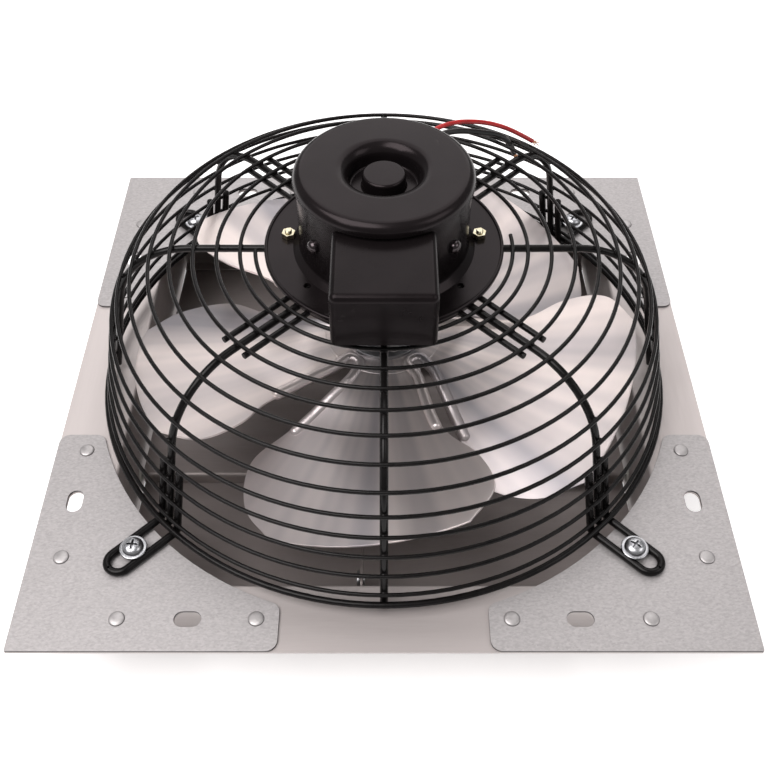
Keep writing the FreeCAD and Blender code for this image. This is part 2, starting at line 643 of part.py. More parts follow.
# Frame
def make_rail(label, angle, hinge_side=0):
    """Mitred aluminium rail; side rails also have the holes of the hinge bushes."""
    body = new_body(label)
    profile = new_sketch(body, "YZ_Plane")
    draw_outline(profile, [
        ("- half_side", "flange_under"), ("- wall_outer", "flange_under"), ("- wall_outer", "rail_sheet"),
        ("- hem_outer", "rail_sheet"), ("- hem_outer", "0"), ("- wall_inner", "0"),
        ("- wall_inner", "rail_depth"), ("- half_side", "rail_depth"),
    ])
    pad(body, profile, "frame_side", symmetric=True)
    mitre = new_sketch(body, "XY_Plane")
    draw_outline(mitre, [
        ("wall_inner", "- wall_inner"), ("half_side", "- half_side"), ("half_side", "- wall_inner")])
    draw_outline(mitre, [
        ("- wall_inner", "- wall_inner"), ("- half_side", "- wall_inner"), ("- half_side", "- half_side")])
    cut_through(body, mitre)
    fixings = new_sketch(body, "XY_Plane")
    for sign in ("", "- "):
        draw_circle(fixings, sign + "rivet_near", "- fixing_line", "rivet_hole")
        draw_circle(fixings, sign + "rivet_far", "- fixing_line", "rivet_hole")
        draw_slot(fixings, sign + "slot_near", sign + "slot_far", "- fixing_line", "slot_half")
    cut_through(body, fixings)
    if hinge_side:
        holes = new_sketch(body, "XZ_Plane")
        for index in range(louvre_count):
            draw_circle(holes, hinge_phrase(index, hinge_side), "hinge_level", "bush_hole")
        cut_through(body, holes)
    body.Placement = turned(angle)


def hinge_phrase(index, sign=1):
    """Phrase for the place of a louvre's hinge along Y, or its opposite."""
    plus, minus = ("+", "-") if sign > 0 else ("-", "+")
    words = [minus, "wall_inner", plus, "hinge_inset"] + [plus, "louvre_pitch"] * index
    return " ".join(words)


def hinge_place(index):
    """Place of a louvre's hinge along Y."""
    return number(hinge_phrase(index))


def make_corner_plate(label, angle):
    """Galvanised corner plate with an arc-shaped inner edge, rivet holes, slots and the guard screw's hole."""
    body = new_body(label)
    square = new_sketch(body, "XY_Plane", "rail_depth")
    draw_outline(square, [
        ("plate_leg_end", "plate_leg_end"), ("half_side", "plate_leg_end"),
        ("half_side", "half_side"), ("plate_leg_end", "half_side")])
    pad(body, square, "plate_sheet")
    inner = new_sketch(body, "XY_Plane")
    draw_circle(inner, "0", "0", "plate_arc")
    cut_through(body, inner)
    end = size("plate_leg_end")
    half = size("half_side")
    meet = math.sqrt(size("plate_arc") ** 2 - end ** 2)
    corners = [(half, end), (end, half), (meet, end), (end, meet)]
    round_edges(body, "plate_round", lambda edge: any(is_upright(edge, *corner) for corner in corners))
    fixings = new_sketch(body, "XY_Plane")
    for along in ("rivet_near", "rivet_far"):
        draw_circle(fixings, "fixing_line", along, "rivet_hole")
        draw_circle(fixings, along, "fixing_line", "rivet_hole")
    draw_slot(fixings, "slot_near", "slot_far", "fixing_line", "slot_half")
    draw_circle(fixings, "screw_side", "screw_side", "screw_hole")
    cut_through(body, fixings)
    upright = new_sketch(body, "XY_Plane")
    upright.AttachmentOffset = Placement(Vector(0, 0, 0), Rotation(Vector(0, 0, 1), 90))
    draw_slot(upright, "slot_near", "slot_far", "- fixing_line", "slot_half")
    cut_through(body, upright)
    body.Placement = turned(angle)


def make_corner_rivets():
    """Round-headed rivets that join the corner plates to the rails."""
    rivet = turned_solid([
        ("0", "flange_under - rivet_head_rise"), ("rivet_tail_radius", "flange_under - rivet_head_rise"),
        ("rivet_tail_radius", "flange_under"), ("rivet_shank_radius", "flange_under"),
        ("rivet_shank_radius", "plate_top"), ("rivet_head_radius", "plate_top"),
        ("rivet_crown_radius", "plate_top + rivet_head_rise"), ("0", "plate_top + rivet_head_rise")])
    places = []
    line = size("fixing_line")
    for along in (size("rivet_near"), size("rivet_far")):
        for across in (along, -along):
            for angle in QUARTERS:
                places.append(turned(angle).multiply(Placement(Vector(across, -line, 0), Rotation())))
    set_shape("corner_rivets", copies(rivet, places))


def make_guard_fasteners():
    """Screws that hold the guard's feet, and the nuts under the corner plates."""
    screw = turned_solid([
        ("0", "screw_tip"), ("screw_shank_radius", "screw_tip"), ("screw_shank_radius", "screw_seat"),
        ("screw_flange_radius", "screw_seat"), ("screw_flange_radius", "screw_dome_level"),
        ("screw_head_radius", "screw_dome_level"), ("screw_crown_radius", "screw_top"), ("0", "screw_top")])
    reach = size("screw_reach")
    places = [around(reach, angle) for angle in DIAGONALS]
    set_shape("guard_screws", copies(screw, places))
    set_shape("guard_nuts", copies(hexagon("nut_flats", "nut_level", "rail_depth", "screw_hole"), places))


# Wire guard
def side_radius(level, inset):
    """Radius of the leaning side at a height, a distance inside the rings' centre line."""
    lean = size("side_slope") * (size("bend_end_level") - level)
    return size("bend_end") + lean - inset * size("slope_length")


def shoulder_turn():
    """Angle of the bend from the flat top to the leaning side."""
    return math.atan(1 / size("side_slope"))


def ring_place(run):
    """Radius and height of the rings' centre line at a run over the top and down the side."""
    bend = size("guard_shoulder")
    past = run - size("flat_end")
    if past < 0:
        return run, size("ring_level")
    turn = past / bend
    if turn < shoulder_turn():
        return size("flat_end") + bend * math.sin(turn), size("shoulder_level") + bend * math.cos(turn)
    level = size("bend_end_level") - (past - bend * shoulder_turn()) / size("slope_length")
    return side_radius(level, 0), level


def ring(radius, level, wire):
    """Closed wire ring about the fan axis."""
    return Part.makeTorus(radius, wire / 2, Vector(0, 0, level))


def make_guard_rings():
    """Top rings with the short inner arc, side rings and the heavier base ring."""
    wire = size("ring_wire")
    top_runs = [size("first_ring") + step * size("top_pitch") for step in range(TOP_RINGS)]
    side_runs = [top_runs[-1] + (step + 1) * size("side_pitch") for step in range(SIDE_RINGS)]
    top = [ring(*ring_place(run), wire) for run in top_runs]
    start, end = END_ARC_ANGLES
    sweep = Part.makeCircle(size("end_arc"), Vector(0, 0, size("ring_level")), Vector(0, 0, 1), start, end)
    top.append(wire_tube(Part.Wire(sweep), wire))
    set_shape("guard_top_rings", Part.makeCompound(top))
    set_shape("guard_side_rings", Part.makeCompound([ring(*ring_place(run), wire) for run in side_runs]))
    set_shape("guard_base_ring", ring(size("base_radius"), size("base_level"), size("base_wire")))


def rod_shape():
    """Radial rod at angle zero: flat under the top rings, round the shoulder and down to the base ring."""
    level = size("rod_level")
    inset = size("rod_inset")
    bend = size("guard_shoulder") - inset
    centre = Vector(size("flat_end"), 0, size("shoulder_level"))
    top = Vector(centre.x, 0, level)
    middle, side = [
        centre + Vector(bend * math.sin(turn), 0, bend * math.cos(turn))
        for turn in (shoulder_turn() / 2, shoulder_turn())]
    end = Vector(side_radius(size("rod_end_level"), inset), 0, size("rod_end_level"))
    path = Part.Wire([
        line_between(Vector(size("rod_inner"), 0, level), top), arc_between(top, middle, side),
        line_between(side, end)])
    return wire_tube(path, size("rod_wire"))


def rounded_corner(before, corner, after, radius):
    """Start, middle and end of the arc that rounds a corner between two straight runs."""
    back = (before - corner).normalize()
    ahead = (after - corner).normalize()
    half_turn = (math.pi - back.getAngle(ahead)) / 2
    reach = radius * math.tan(half_turn)
    bisector = (back + ahead).normalize()
    middle = corner + bisector * (radius / math.cos(half_turn) - radius)
    return corner + back * reach, middle, corner + ahead * reach


def foot_shape():
    """Foot at angle zero: one wire, down inside the rings, out over the plate, round the loop and back."""
    half = size("foot_half")
    low = size("foot_level")
    loop = size("foot_loop")
    edges = []
    for side in (half, -half):
        top, knee = [
            Vector(math.sqrt(side_radius(level, size("foot_inset")) ** 2 - side ** 2), side, level)
            for level in (size("foot_top"), low)]
        tip = Vector(loop, side, low)
        bend_start, bend_middle, bend_end = rounded_corner(top, knee, tip, size("foot_bend"))
        leg = [
            line_between(top, bend_start), arc_between(bend_start, bend_middle, bend_end),
            line_between(bend_end, tip)]
        edges.extend(leg if side > 0 else reversed(leg))
    turn = arc_between(Vector(loop, half, low), Vector(loop + half, 0, low), Vector(loop, -half, low))
    edges.insert(3, turn)
    return wire_tube(Part.Wire(edges), size("foot_wire"))


def make_guard_wires():
    """Spokes, diagonal legs, foot loops and the paired wires that carry the motor."""
    rod = rod_shape()
    set_shape("guard_spokes", copies(rod, [turned(angle) for angle in QUARTERS]))
    set_shape("guard_legs", copies(rod, [turned(angle) for angle in DIAGONALS]))
    set_shape("guard_feet", copies(foot_shape(), [turned(angle) for angle in DIAGONALS]))
    level = size("stub_level")
    stubs = []
    for side in (size("stub_offset"), -size("stub_offset")):
        start = Vector(size("rod_inner"), side, level)
        run = size("stub_outer") - size("rod_inner")
        stubs.append(Part.makeCylinder(size("stub_wire") / 2, run, start, Vector(1, 0, 0)))
    pair = Part.makeCompound(stubs)
    set_shape("motor_support_wires", copies(pair, [turned(angle) for angle in DIAGONALS]))


# Motor
def make_motor_mount():
    """Mounting plate with the front bearing's cup, clamp ring under the wires, bolts and nuts."""
    plate = new_body("motor_mount_plate")
    revolve(plate, [
        ("cup_outer", "mount_under"), ("mount_radius", "mount_under"), ("mount_radius", "mount_rim_top"),
        ("mount_rim_inner", "mount_rim_top"), ("mount_rim_inner", "motor_base"), ("bearing_seat", "motor_base"),
        ("bearing_seat", "cup_floor"), ("shaft_hole", "cup_floor"), ("shaft_hole", "cup_under"),
        ("cup_outer", "cup_under")])
    bolt_holes(plate, BOLT_ANGLES + SPARE_HOLES)
    clamp = new_body("motor_clamp_ring")
    revolve(clamp, [
        ("clamp_inner", "clamp_under"), ("clamp_outer", "clamp_under"),
        ("clamp_outer", "clamp_top"), ("clamp_inner", "clamp_top")])
    bolt_holes(clamp, BOLT_ANGLES)
    bolt = Part.makeCylinder(size("bolt_shank") / 2, size("bolt_top") - size("clamp_under"))
    bolt.translate(Vector(0, 0, size("clamp_under")))
    bolt = bolt.fuse(hexagon("bolt_flats", "bolt_under", "clamp_under")).removeSplitter()
    places = [around(size("bolt_circle"), angle) for angle in BOLT_ANGLES]
    set_shape("motor_bolts", copies(bolt, places))
    nut = hexagon("bolt_flats", "motor_base", "motor_base + bolt_nut", "bolt_hole")
    set_shape("motor_nuts", copies(nut, places))


def bolt_holes(body, angles):
    """Holes on the motor's bolt circle."""
    for angle in angles:
        sketch = new_sketch(body, "XY_Plane")
        sketch.AttachmentOffset = Placement(Vector(0, 0, 0), Rotation(Vector(0, 0, 1), angle))
        draw_circle(sketch, "bolt_circle", "0", "bolt_hole")
        cut_through(body, sketch)


def make_motor_shells():
    """Drawn shell with its flared foot, and the rear cap with its ring recess and bearing boss."""
    shell = new_body("motor_shell")
    revolve(shell, [
        ("foot_inner_wall", "motor_base"), ("shell_foot", "motor_base"), ("shell_radius", "shell_foot_top"),
        ("shell_radius", "shell_top"), ("shell_inner", "shell_top"), ("shell_inner", "shell_foot_top")])
    radial_hole(shell, size("grommet_turn"), "grommet_level", "grommet_hole", "cap_radius")
    for side in DOME_SIDES:
        radial_hole(shell, dome_angle(side), "dome_screw_level", "dome_screw_hole", "cap_radius")
    cap = new_body("motor_rear_cap")
    revolve(cap, [
        ("cap_inner", "cap_base"), ("cap_radius", "cap_base"), ("cap_radius", "cap_top"),
        ("cap_lip", "cap_top"), ("cap_lip", "recess_floor"), ("cap_boss", "recess_floor"),
        ("cap_boss", "boss_top"), ("0", "boss_top"), ("0", "boss_under"),
        ("bearing_seat", "boss_under"), ("bearing_seat", "recess_under"),
        ("recess_wall", "recess_under"), ("recess_wall", "cap_under"), ("cap_inner", "cap_under")])
    for rounding, radius, level in (
            ("cap_round - motor_sheet", "cap_inner", "cap_under"),
            ("cap_lip_round - motor_sheet", "recess_wall", "cap_under"),
            ("cap_round", "cap_radius", "cap_top"), ("cap_lip_round", "cap_lip", "cap_top"),
            ("cap_boss_round", "cap_boss", "boss_top")):
        round_edges(cap, rounding, lambda edge: is_ring(edge, size(radius), size(level)))
    dome = turned_solid([
        ("0", "- motor_sheet"), ("dome_screw_shank_radius", "- motor_sheet"),
        ("dome_screw_shank_radius", "0"), ("dome_screw_head_radius", "0"),
        ("dome_screw_crown_radius", "dome_screw_rise"), ("0", "dome_screw_rise")])
    places = [facing_out("shell_seat", dome_angle(side), "dome_screw_level") for side in DOME_SIDES]
    set_shape("shell_screws", copies(dome, places))
    grommet = turned_solid([
        ("0", "- motor_sheet"), ("grommet_neck_radius", "- motor_sheet"), ("grommet_neck_radius", "0"),
        ("grommet_flange_radius", "0"), ("grommet_flange_radius", "grommet_rise"), ("0", "grommet_rise")])
    place = facing_out("shell_seat", size("grommet_turn"), "grommet_level")
    set_shape("lead_grommet", copies(grommet, [place]))


def dome_angle(side):
    """Angle about the axis of a shell screw on one side of the terminal box."""
    return BOX_ANGLE + side * size("dome_screw_turn")


def facing_out(radius, angle, level):
    """Placement that points a piece's own axis outwards from the fan axis."""
    base = Vector(number(radius), 0, number(level))
    return turned(angle).multiply(Placement(base, Rotation(Vector(0, 0, 1), Vector(1, 0, 0))))


def radial_hole(body, angle, level, radius, reach):
    """Round hole from the fan axis outwards at an angle and height."""
    sketch = new_sketch(body, "YZ_Plane")
    sketch.AttachmentOffset = Placement(Vector(0, 0, 0), Rotation(Vector(0, 1, 0), angle))
    draw_circle(sketch, "0", level, radius)
    hole = body.newObject("PartDesign::Pocket", "RadialHole")
    hole.Profile = sketch
    bind(hole, Length=reach)
    hole.Reversed = True


def make_motor_inside():
    """Stator, windings, rotor, shaft and the two ball bearings."""
    core = new_body("stator_core")
    revolve(core, [
        ("stator_bore_radius", "stator_level"), ("stator_radius", "stator_level"),
        ("stator_radius", "stator_top"), ("stator_bore_radius", "stator_top")])
    slots = new_sketch(core, "XY_Plane")
    draw_circle(slots, "coil_circle", "0", "coil_slot_radius")
    slot = cut_through(core, slots)
    pattern = core.newObject("PartDesign::PolarPattern", "Slots")
    pattern.Originals = [slot]
    pattern.Axis = (slots, ["N_Axis"])
    pattern.Angle = 360
    pattern.Occurrences = STATOR_SLOTS
    core.Tip = pattern
    coils = [
        turned_solid([
            ("coil_inner", low), ("coil_outer", low), ("coil_outer", high), ("coil_inner", high)])
        for low, high in (
            ("stator_level - coil_rise", "stator_level"), ("stator_top", "stator_top + coil_rise"))]
    set_shape("stator_windings", Part.makeCompound(coils))
    rotor = new_body("rotor_core")
    revolve(rotor, [
        ("hub_bore", "stator_level"), ("rotor_radius", "stator_level"),
        ("rotor_radius", "stator_top"), ("hub_bore", "stator_top")])
    shaft = keep(doc.addObject("Part::Cylinder", "motor_shaft"), "motor_shaft")
    bind(shaft, Radius="shaft_radius", Height="shaft_top - disc_under")
    shaft.setExpression("Placement.Base.z", formula("disc_under"))
    for label, low in (("front_bearing", "cup_floor"), ("rear_bearing", "rear_bearing_level")):
        bearing = new_body(label)
        revolve(bearing, [
            ("hub_bore", low), ("bearing_radius", low),
            ("bearing_radius", low + " + bearing_width"), ("hub_bore", low + " + bearing_width")])


def make_terminal_box():
    """Box on the motor's side: walls and floor, folded cover and the run capacitor."""
    box = new_body("terminal_box")
    outer = new_sketch(box, "XY_Plane", "box_level")
    draw_outline(outer, [
        ("- box_half", "0"), ("- box_half", "- cover_back"), ("box_half", "- cover_back"), ("box_half", "0")])
    pad(box, outer, "cover_under - box_level")
    inside = new_sketch(box, "XY_Plane", "box_floor")
    draw_outline(inside, [
        ("- box_inner_half", "0"), ("- box_inner_half", "- box_front"),
        ("box_inner_half", "- box_front"), ("box_inner_half", "0")])
    hollow = box.newObject("PartDesign::Pocket", "Hollow")
    hollow.Profile = inside
    bind(hollow, Length="box_height")
    hollow.Reversed = True
    saddle(box)
    cover = new_body("terminal_box_cover")
    fold = new_sketch(cover, "YZ_Plane")
    draw_outline(fold, [
        ("0", "cover_under"), ("- cover_back", "cover_under"), ("- cover_back", "box_level"),
        ("- box_front", "box_level"), ("- box_front", "box_top"), ("0", "box_top")])
    pad(cover, fold, "box_width", symmetric=True)
    saddle(cover)
    round_edges(cover, "box_round", lambda edge: is_fold(edge, size("box_front"), size("box_top")))
    inner_fold = (size("cover_back"), size("cover_under"))
    round_edges(cover, "box_round - box_sheet", lambda edge: is_fold(edge, *inner_fold))
    can = new_body("run_capacitor")
    base = new_sketch(can, "XY_Plane", "box_floor")
    draw_outline(base, [
        ("- capacitor_half", "- capacitor_back - capacitor_width"),
        ("capacitor_half", "- capacitor_back - capacitor_width"),
        ("capacitor_half", "- capacitor_back"), ("- capacitor_half", "- capacitor_back")])
    pad(can, base, "capacitor_height")
    half = size("capacitor_half")
    back = -size("capacitor_back")
    corners = [(x, y) for x in (half, -half) for y in (back, back - size("capacitor_width"))]
    round_edges(can, "capacitor_round", lambda edge: any(is_upright(edge, *corner) for corner in corners))


def saddle(body):
    """Round the back of a box piece to sit on the motor's shell."""
    sketch = new_sketch(body, "XY_Plane", "box_level")
    draw_circle(sketch, "0", "0", "shell_seat")
    hollow = body.newObject("PartDesign::Pocket", "Saddle")
    hollow.Profile = sketch
    bind(hollow, Length="box_height")
    hollow.Reversed = True


def is_fold(edge, front, level):
    """True for an edge along X at a distance in front of the axis and a height."""
    centre = edge.BoundBox.Center
    along = edge.BoundBox.YLength < 1e-3 and edge.BoundBox.ZLength < 1e-3
    return along and abs(centre.y + front) < 1e-2 and abs(centre.z - level) < 1e-2


def lead_path(route):
    """Straight runs joined by tangent arcs, each as large as its two runs allow."""
    points = [Vector(*place) for place in route]
    edges = []
    start = points[0]
    for before, corner, after in zip(points, points[1:], points[2:]):
        half_turn = (math.pi - (before - corner).getAngle(after - corner)) / 2
        reach = ARC_SHARE * min((before - corner).Length, (after - corner).Length)
        radius = reach / math.tan(half_turn)
        print("lead bend radius %.1f" % radius)
        bend_start, bend_middle, bend_end = rounded_corner(before, corner, after, radius)
        edges.append(line_between(start, bend_start))
        edges.append(arc_between(bend_start, bend_middle, bend_end))
        start = bend_end
    edges.append(line_between(start, points[-1]))
    return Part.Wire(edges)


def make_leads():
    """Red lead and sleeved black lead from the motor's grommet."""
    for label, route in (("red_lead", RED_ROUTE), ("black_lead", BLACK_ROUTE)):
        diameter = label + "_dia"
        path = lead_path(route)
        tube = wire_tube(path, size(diameter))
        section = math.pi * size(diameter) ** 2 / 4
        print("%s length %.1f volume ratio %.4f" % (label, path.Length, tube.Volume / (section * path.Length)))
        set_shape(label, tube)


# Impeller
def blade_height(radius, turn):
    """Height of the blade's underside at a radius and an angle from its middle."""
    inner = size("disc_radius")
    share = max(0.0, (radius - inner) / (size("tip_radius") - inner))
    from_level = turn + math.radians(size("level_turn"))
    across = from_level / math.radians(size("camber_turn"))
    crown = size("blade_camber") * max(0.0, 1 - across * across)
    run = min(1.0, max(0.0, (radius - inner) / (size("waist_radius") - inner)))
    dish = size("blade_dish") * run * run * (3 - 2 * run)
    return size("blade_mid") - dish + share * (size("tip_rise") * from_level + crown)


def blade_outline():
    """Petal outline seen along the axis: leading edge, tip arc, trailing edge and root."""
    def place(radius, degrees):
        turn = math.radians(degrees)
        return Vector(size(radius) * math.cos(turn), size(radius) * math.sin(turn), 0)

    stations = ("root", "waist", "belly", "shoulder", "tip")
    lead = Part.BSplineCurve()
    lead.interpolate([place(name + "_radius", size("lead_" + name)) for name in stations])
    trail = Part.BSplineCurve()
    trail.interpolate([place(name + "_radius", -size("trail_" + name)) for name in reversed(stations)])
    tip = Part.Arc(lead.EndPoint, place("tip_radius", 0), trail.StartPoint)
    root = Part.Arc(trail.EndPoint, place("root_radius", 0), lead.StartPoint)
    return Part.Wire([lead.toShape(), tip.toShape(), trail.toShape(), root.toShape()])


def blade_shape():
    """One pressed blade: a sheet that rises from trailing to leading edge, cut to the petal outline."""
    margin = math.radians(BLADE_MARGIN)
    first = -math.radians(size("trail_belly")) - margin
    last = math.radians(size("lead_root")) + margin
    inner = size("root_radius") * BLADE_INNER_SHARE
    outer = size("tip_radius") * BLADE_OUTER_SHARE
    grid = []
    for step in range(BLADE_STEPS):
        radius = inner + (outer - inner) * step / (BLADE_STEPS - 1)
        row = []
        for stride in range(BLADE_STEPS):
            turn = first + (last - first) * stride / (BLADE_STEPS - 1)
            row.append(Vector(radius * math.cos(turn), radius * math.sin(turn), blade_height(radius, turn)))
        grid.append(row)
    surface = Part.BSplineSurface()
    surface.interpolate(grid)
    sheet_solid = surface.toShape().extrude(Vector(0, 0, size("blade_sheet")))
    low = size("plate_top")
    prism = Part.Face(blade_outline())
    prism.translate(Vector(0, 0, low))
    return sheet_solid.common(prism.extrude(Vector(0, 0, size("hub_top") - low)))


def make_impeller():
    """Pressed blades on their centre disc, hub, hub rivets and set screw."""
    blade = blade_shape()
    disc = turned_solid([
        ("hub_bore", "disc_under"), ("disc_radius", "disc_under"),
        ("disc_radius", "disc_top"), ("hub_bore", "disc_top")])
    step = 360 / BLADE_COUNT
    blades = [copies(blade, [turned(BOX_ANGLE + index * step)]).Solids[0] for index in range(BLADE_COUNT)]
    fan = disc.multiFuse(blades)
    rivet_places = [around(size("hub_rivet_circle"), index * step) for index in range(BLADE_COUNT)]
    hole = Part.makeCylinder(size("hub_rivet_hole"), size("disc_sheet"), Vector(0, 0, size("disc_under")))
    fan = fan.cut(copies(hole, rivet_places))
    set_shape("fan_blades", fan.Solids[0])
    hub = new_body("fan_hub")
    revolve(hub, [
        ("hub_bore", "disc_top"), ("hub_flange", "disc_top"), ("hub_flange", "hub_flange_top"),
        ("hub_radius", "hub_flange_top"), ("hub_radius", "hub_top"), ("hub_bore", "hub_top")])
    for index in range(BLADE_COUNT):
        sketch = new_sketch(hub, "XY_Plane")
        sketch.AttachmentOffset = Placement(Vector(0, 0, 0), Rotation(Vector(0, 0, 1), index * step))
        draw_circle(sketch, "hub_rivet_circle", "0", "hub_rivet_hole")
        cut_through(hub, sketch)
    radial_hole(hub, BOX_ANGLE, "set_screw_level", "set_screw_hole", "hub_flange")
    rivet = turned_solid([
        ("0", "disc_under - hub_rivet_rise"), ("hub_rivet_crown_radius", "disc_under - hub_rivet_rise"),
        ("hub_rivet_head_radius", "disc_under"), ("hub_rivet_shank_radius", "disc_under"),
        ("hub_rivet_shank_radius", "hub_flange_top"), ("hub_rivet_head_radius", "hub_flange_top"),
        ("hub_rivet_crown_radius", "hub_flange_top + hub_rivet_rise"),
        ("0", "hub_flange_top + hub_rivet_rise")])
    set_shape("hub_rivets", copies(rivet, rivet_places))
    screw = turned_solid([
        ("0", "shank_fit"), ("set_screw_radius", "shank_fit"),
        ("set_screw_radius", "hub_radius - shaft_radius"), ("0", "hub_radius - shaft_radius")])
    set_shape("hub_set_screw", copies(screw, [facing_out("shaft_radius", BOX_ANGLE, "set_screw_level")]))


# Shutter
def make_louvre(index):
    """One louvre with its rolled eye and skirt, its hinge rod and its crank."""
    hinge = hinge_phrase(index)
    name = "louvre_%d" % (index + 1)
    width = "louvre_half + louvre_half"
    body = new_body(name)
    leaf = new_sketch(body, "YZ_Plane")
    draw_outline(leaf, [
        (hinge, "eye_top"), (hinge, "eye_top - louvre_sheet"),
        (hinge + " + louvre_chord - louvre_hem", "hem_root"),
        (hinge + " + louvre_chord - louvre_hem", "hem_root_under"),
        (hinge + " + louvre_chord", "hem_under"), (hinge + " + louvre_chord", "free_top")])
    pad(body, leaf, width, symmetric=True)
    eye = new_sketch(body, "YZ_Plane")
    draw_circle(eye, hinge, "hinge_level", "eye_radius")
    pad(body, eye, width, symmetric=True)
    skirt = new_sketch(body, "YZ_Plane")
    front = hinge + " - eye_radius"
    draw_outline(skirt, [
        (front, "hinge_level"), (front, "skirt_level"),
        (front + " + louvre_sheet", "skirt_level"), (front + " + louvre_sheet", "hinge_level")])
    pad(body, skirt, width, symmetric=True)
    bore = new_sketch(body, "YZ_Plane")
    draw_circle(bore, hinge, "hinge_level", "eye_bore")
    cut_through(body, bore)
    rod = keep(doc.addObject("Part::Cylinder", name + "_hinge_rod"), name + "_hinge_rod")
    bind(rod, Radius="hinge_rod_radius", Height="rod_half + rod_half")
    rod.Placement = Placement(Vector(0, 0, 0), Rotation(Vector(0, 1, 0), 90))
    rod.setExpression("Placement.Base.x", formula("- rod_half"))
    rod.setExpression("Placement.Base.y", formula(hinge))
    rod.setExpression("Placement.Base.z", formula("hinge_level"))
    crank = new_body(name + "_crank")
    arm = new_sketch(crank, "YZ_Plane", "- crank_place")
    pin = hinge + " + crank_out"
    draw_outline(arm, [
        (hinge + " + crank_near", "crank_near_top"), (hinge + " + crank_far", "crank_far_top"),
        (pin + " + crank_boss", "pin_level"), (pin + " - crank_boss", "pin_level")])
    pad(crank, arm, "crank_sheet")
    for lift, length, radius in (
            ("- crank_place", "crank_sheet", "crank_boss"),
            ("- crank_inner", "crank_inner - pin_head_near", "pin_radius"),
            ("- pin_head_far", "pin_head_sheet", "pin_head_radius")):
        disc = new_sketch(crank, "YZ_Plane", lift)
        draw_circle(disc, pin, "pin_level", radius)
        pad(crank, disc, length)


def make_shutter():
    """Louvres, nylon bushes, tie bar and the stop behind the last louvre."""
    for index in range(louvre_count):
        make_louvre(index)
    bush = turned_solid([
        ("bush_bore", "- bush_flange_sheet"), ("bush_flange_radius", "- bush_flange_sheet"),
        ("bush_flange_radius", "0"), ("bush_radius", "0"),
        ("bush_radius", "rail_sheet + bush_tail"), ("bush_bore", "rail_sheet + bush_tail")])
    places = []
    for index in range(louvre_count):
        for side in (-1, 1):
            base = Vector(side * size("wall_inner"), hinge_place(index), size("hinge_level"))
            places.append(Placement(base, Rotation(Vector(0, 0, 1), Vector(side, 0, 0))))
    set_shape("hinge_bushes", copies(bush, places))
    bar = new_body("tie_bar")
    strip = new_sketch(bar, "YZ_Plane", "- bar_far")
    first = hinge_phrase(0) + " + crank_out - bar_end"
    last = hinge_phrase(louvre_count - 1) + " + crank_out + bar_end"
    draw_outline(strip, [
        (first, "pin_level - bar_half"), (last, "pin_level - bar_half"),
        (last, "pin_level + bar_half"), (first, "pin_level + bar_half")])
    pad(bar, strip, "bar_sheet")
    holes = new_sketch(bar, "YZ_Plane")
    for index in range(louvre_count):
        draw_circle(holes, hinge_phrase(index) + " + crank_out", "pin_level", "pin_hole")
    cut_through(bar, holes)
    stop = new_body("shutter_stop")
    angle = new_sketch(stop, "YZ_Plane")
    draw_outline(angle, [
        ("stop_inner", "stop_under"), ("wall_inner", "stop_under"), ("wall_inner", "stop_top"),
        ("wall_inner - stop_sheet", "stop_top"), ("wall_inner - stop_sheet", "stop_under + stop_sheet"),
        ("stop_inner", "stop_under + stop_sheet")])
    pad(stop, angle, "louvre_half + louvre_half", symmetric=True)


# Check and write
def write_parts():
    """Recompute, stop on any failed object and write each sub-part to its own file."""
    doc.recompute()
    for thing in doc.Objects:
        if "Invalid" in thing.State or "Error" in thing.State:
            raise RuntimeError("failed object: %s %s" % (thing.Label, thing.State))
    os.makedirs("parts", exist_ok=True)
    for thing in nodes:
        if thing.Shape.isNull() or not thing.Shape.isValid():
            raise RuntimeError("bad shape: " + thing.Label)
        thing.Shape.exportStep("parts/%s.step" % thing.Label)


fill_sheet()
louvre_count = int(size("louvre_count"))
make_rail("front_rail", 0)
make_rail("right_rail", 90, hinge_side=1)
make_rail("back_rail", 180)
make_rail("left_rail", 270, hinge_side=-1)
for place, angle in zip(("back_right", "back_left", "front_left", "front_right"), QUARTERS):
    make_corner_plate(place + "_corner_plate", angle)
make_corner_rivets()
make_guard_fasteners()
make_guard_rings()
make_guard_wires()
make_motor_mount()
make_motor_shells()
make_motor_inside()
make_terminal_box()
make_leads()
make_impeller()
make_shutter()
write_parts()
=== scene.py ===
"""Dressed model of a twelve inch shutter exhaust fan that lies on its shutter face, motor up.

Sizes are in millimetres and degrees unless a name says otherwise. Meshes are in metres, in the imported
part's frame.
"""
import json
import logging
import math
from contextlib import contextmanager
from dataclasses import dataclass, replace
from enum import Enum
from typing import Iterator, Sequence

import bpy
from mathutils import Matrix, Vector

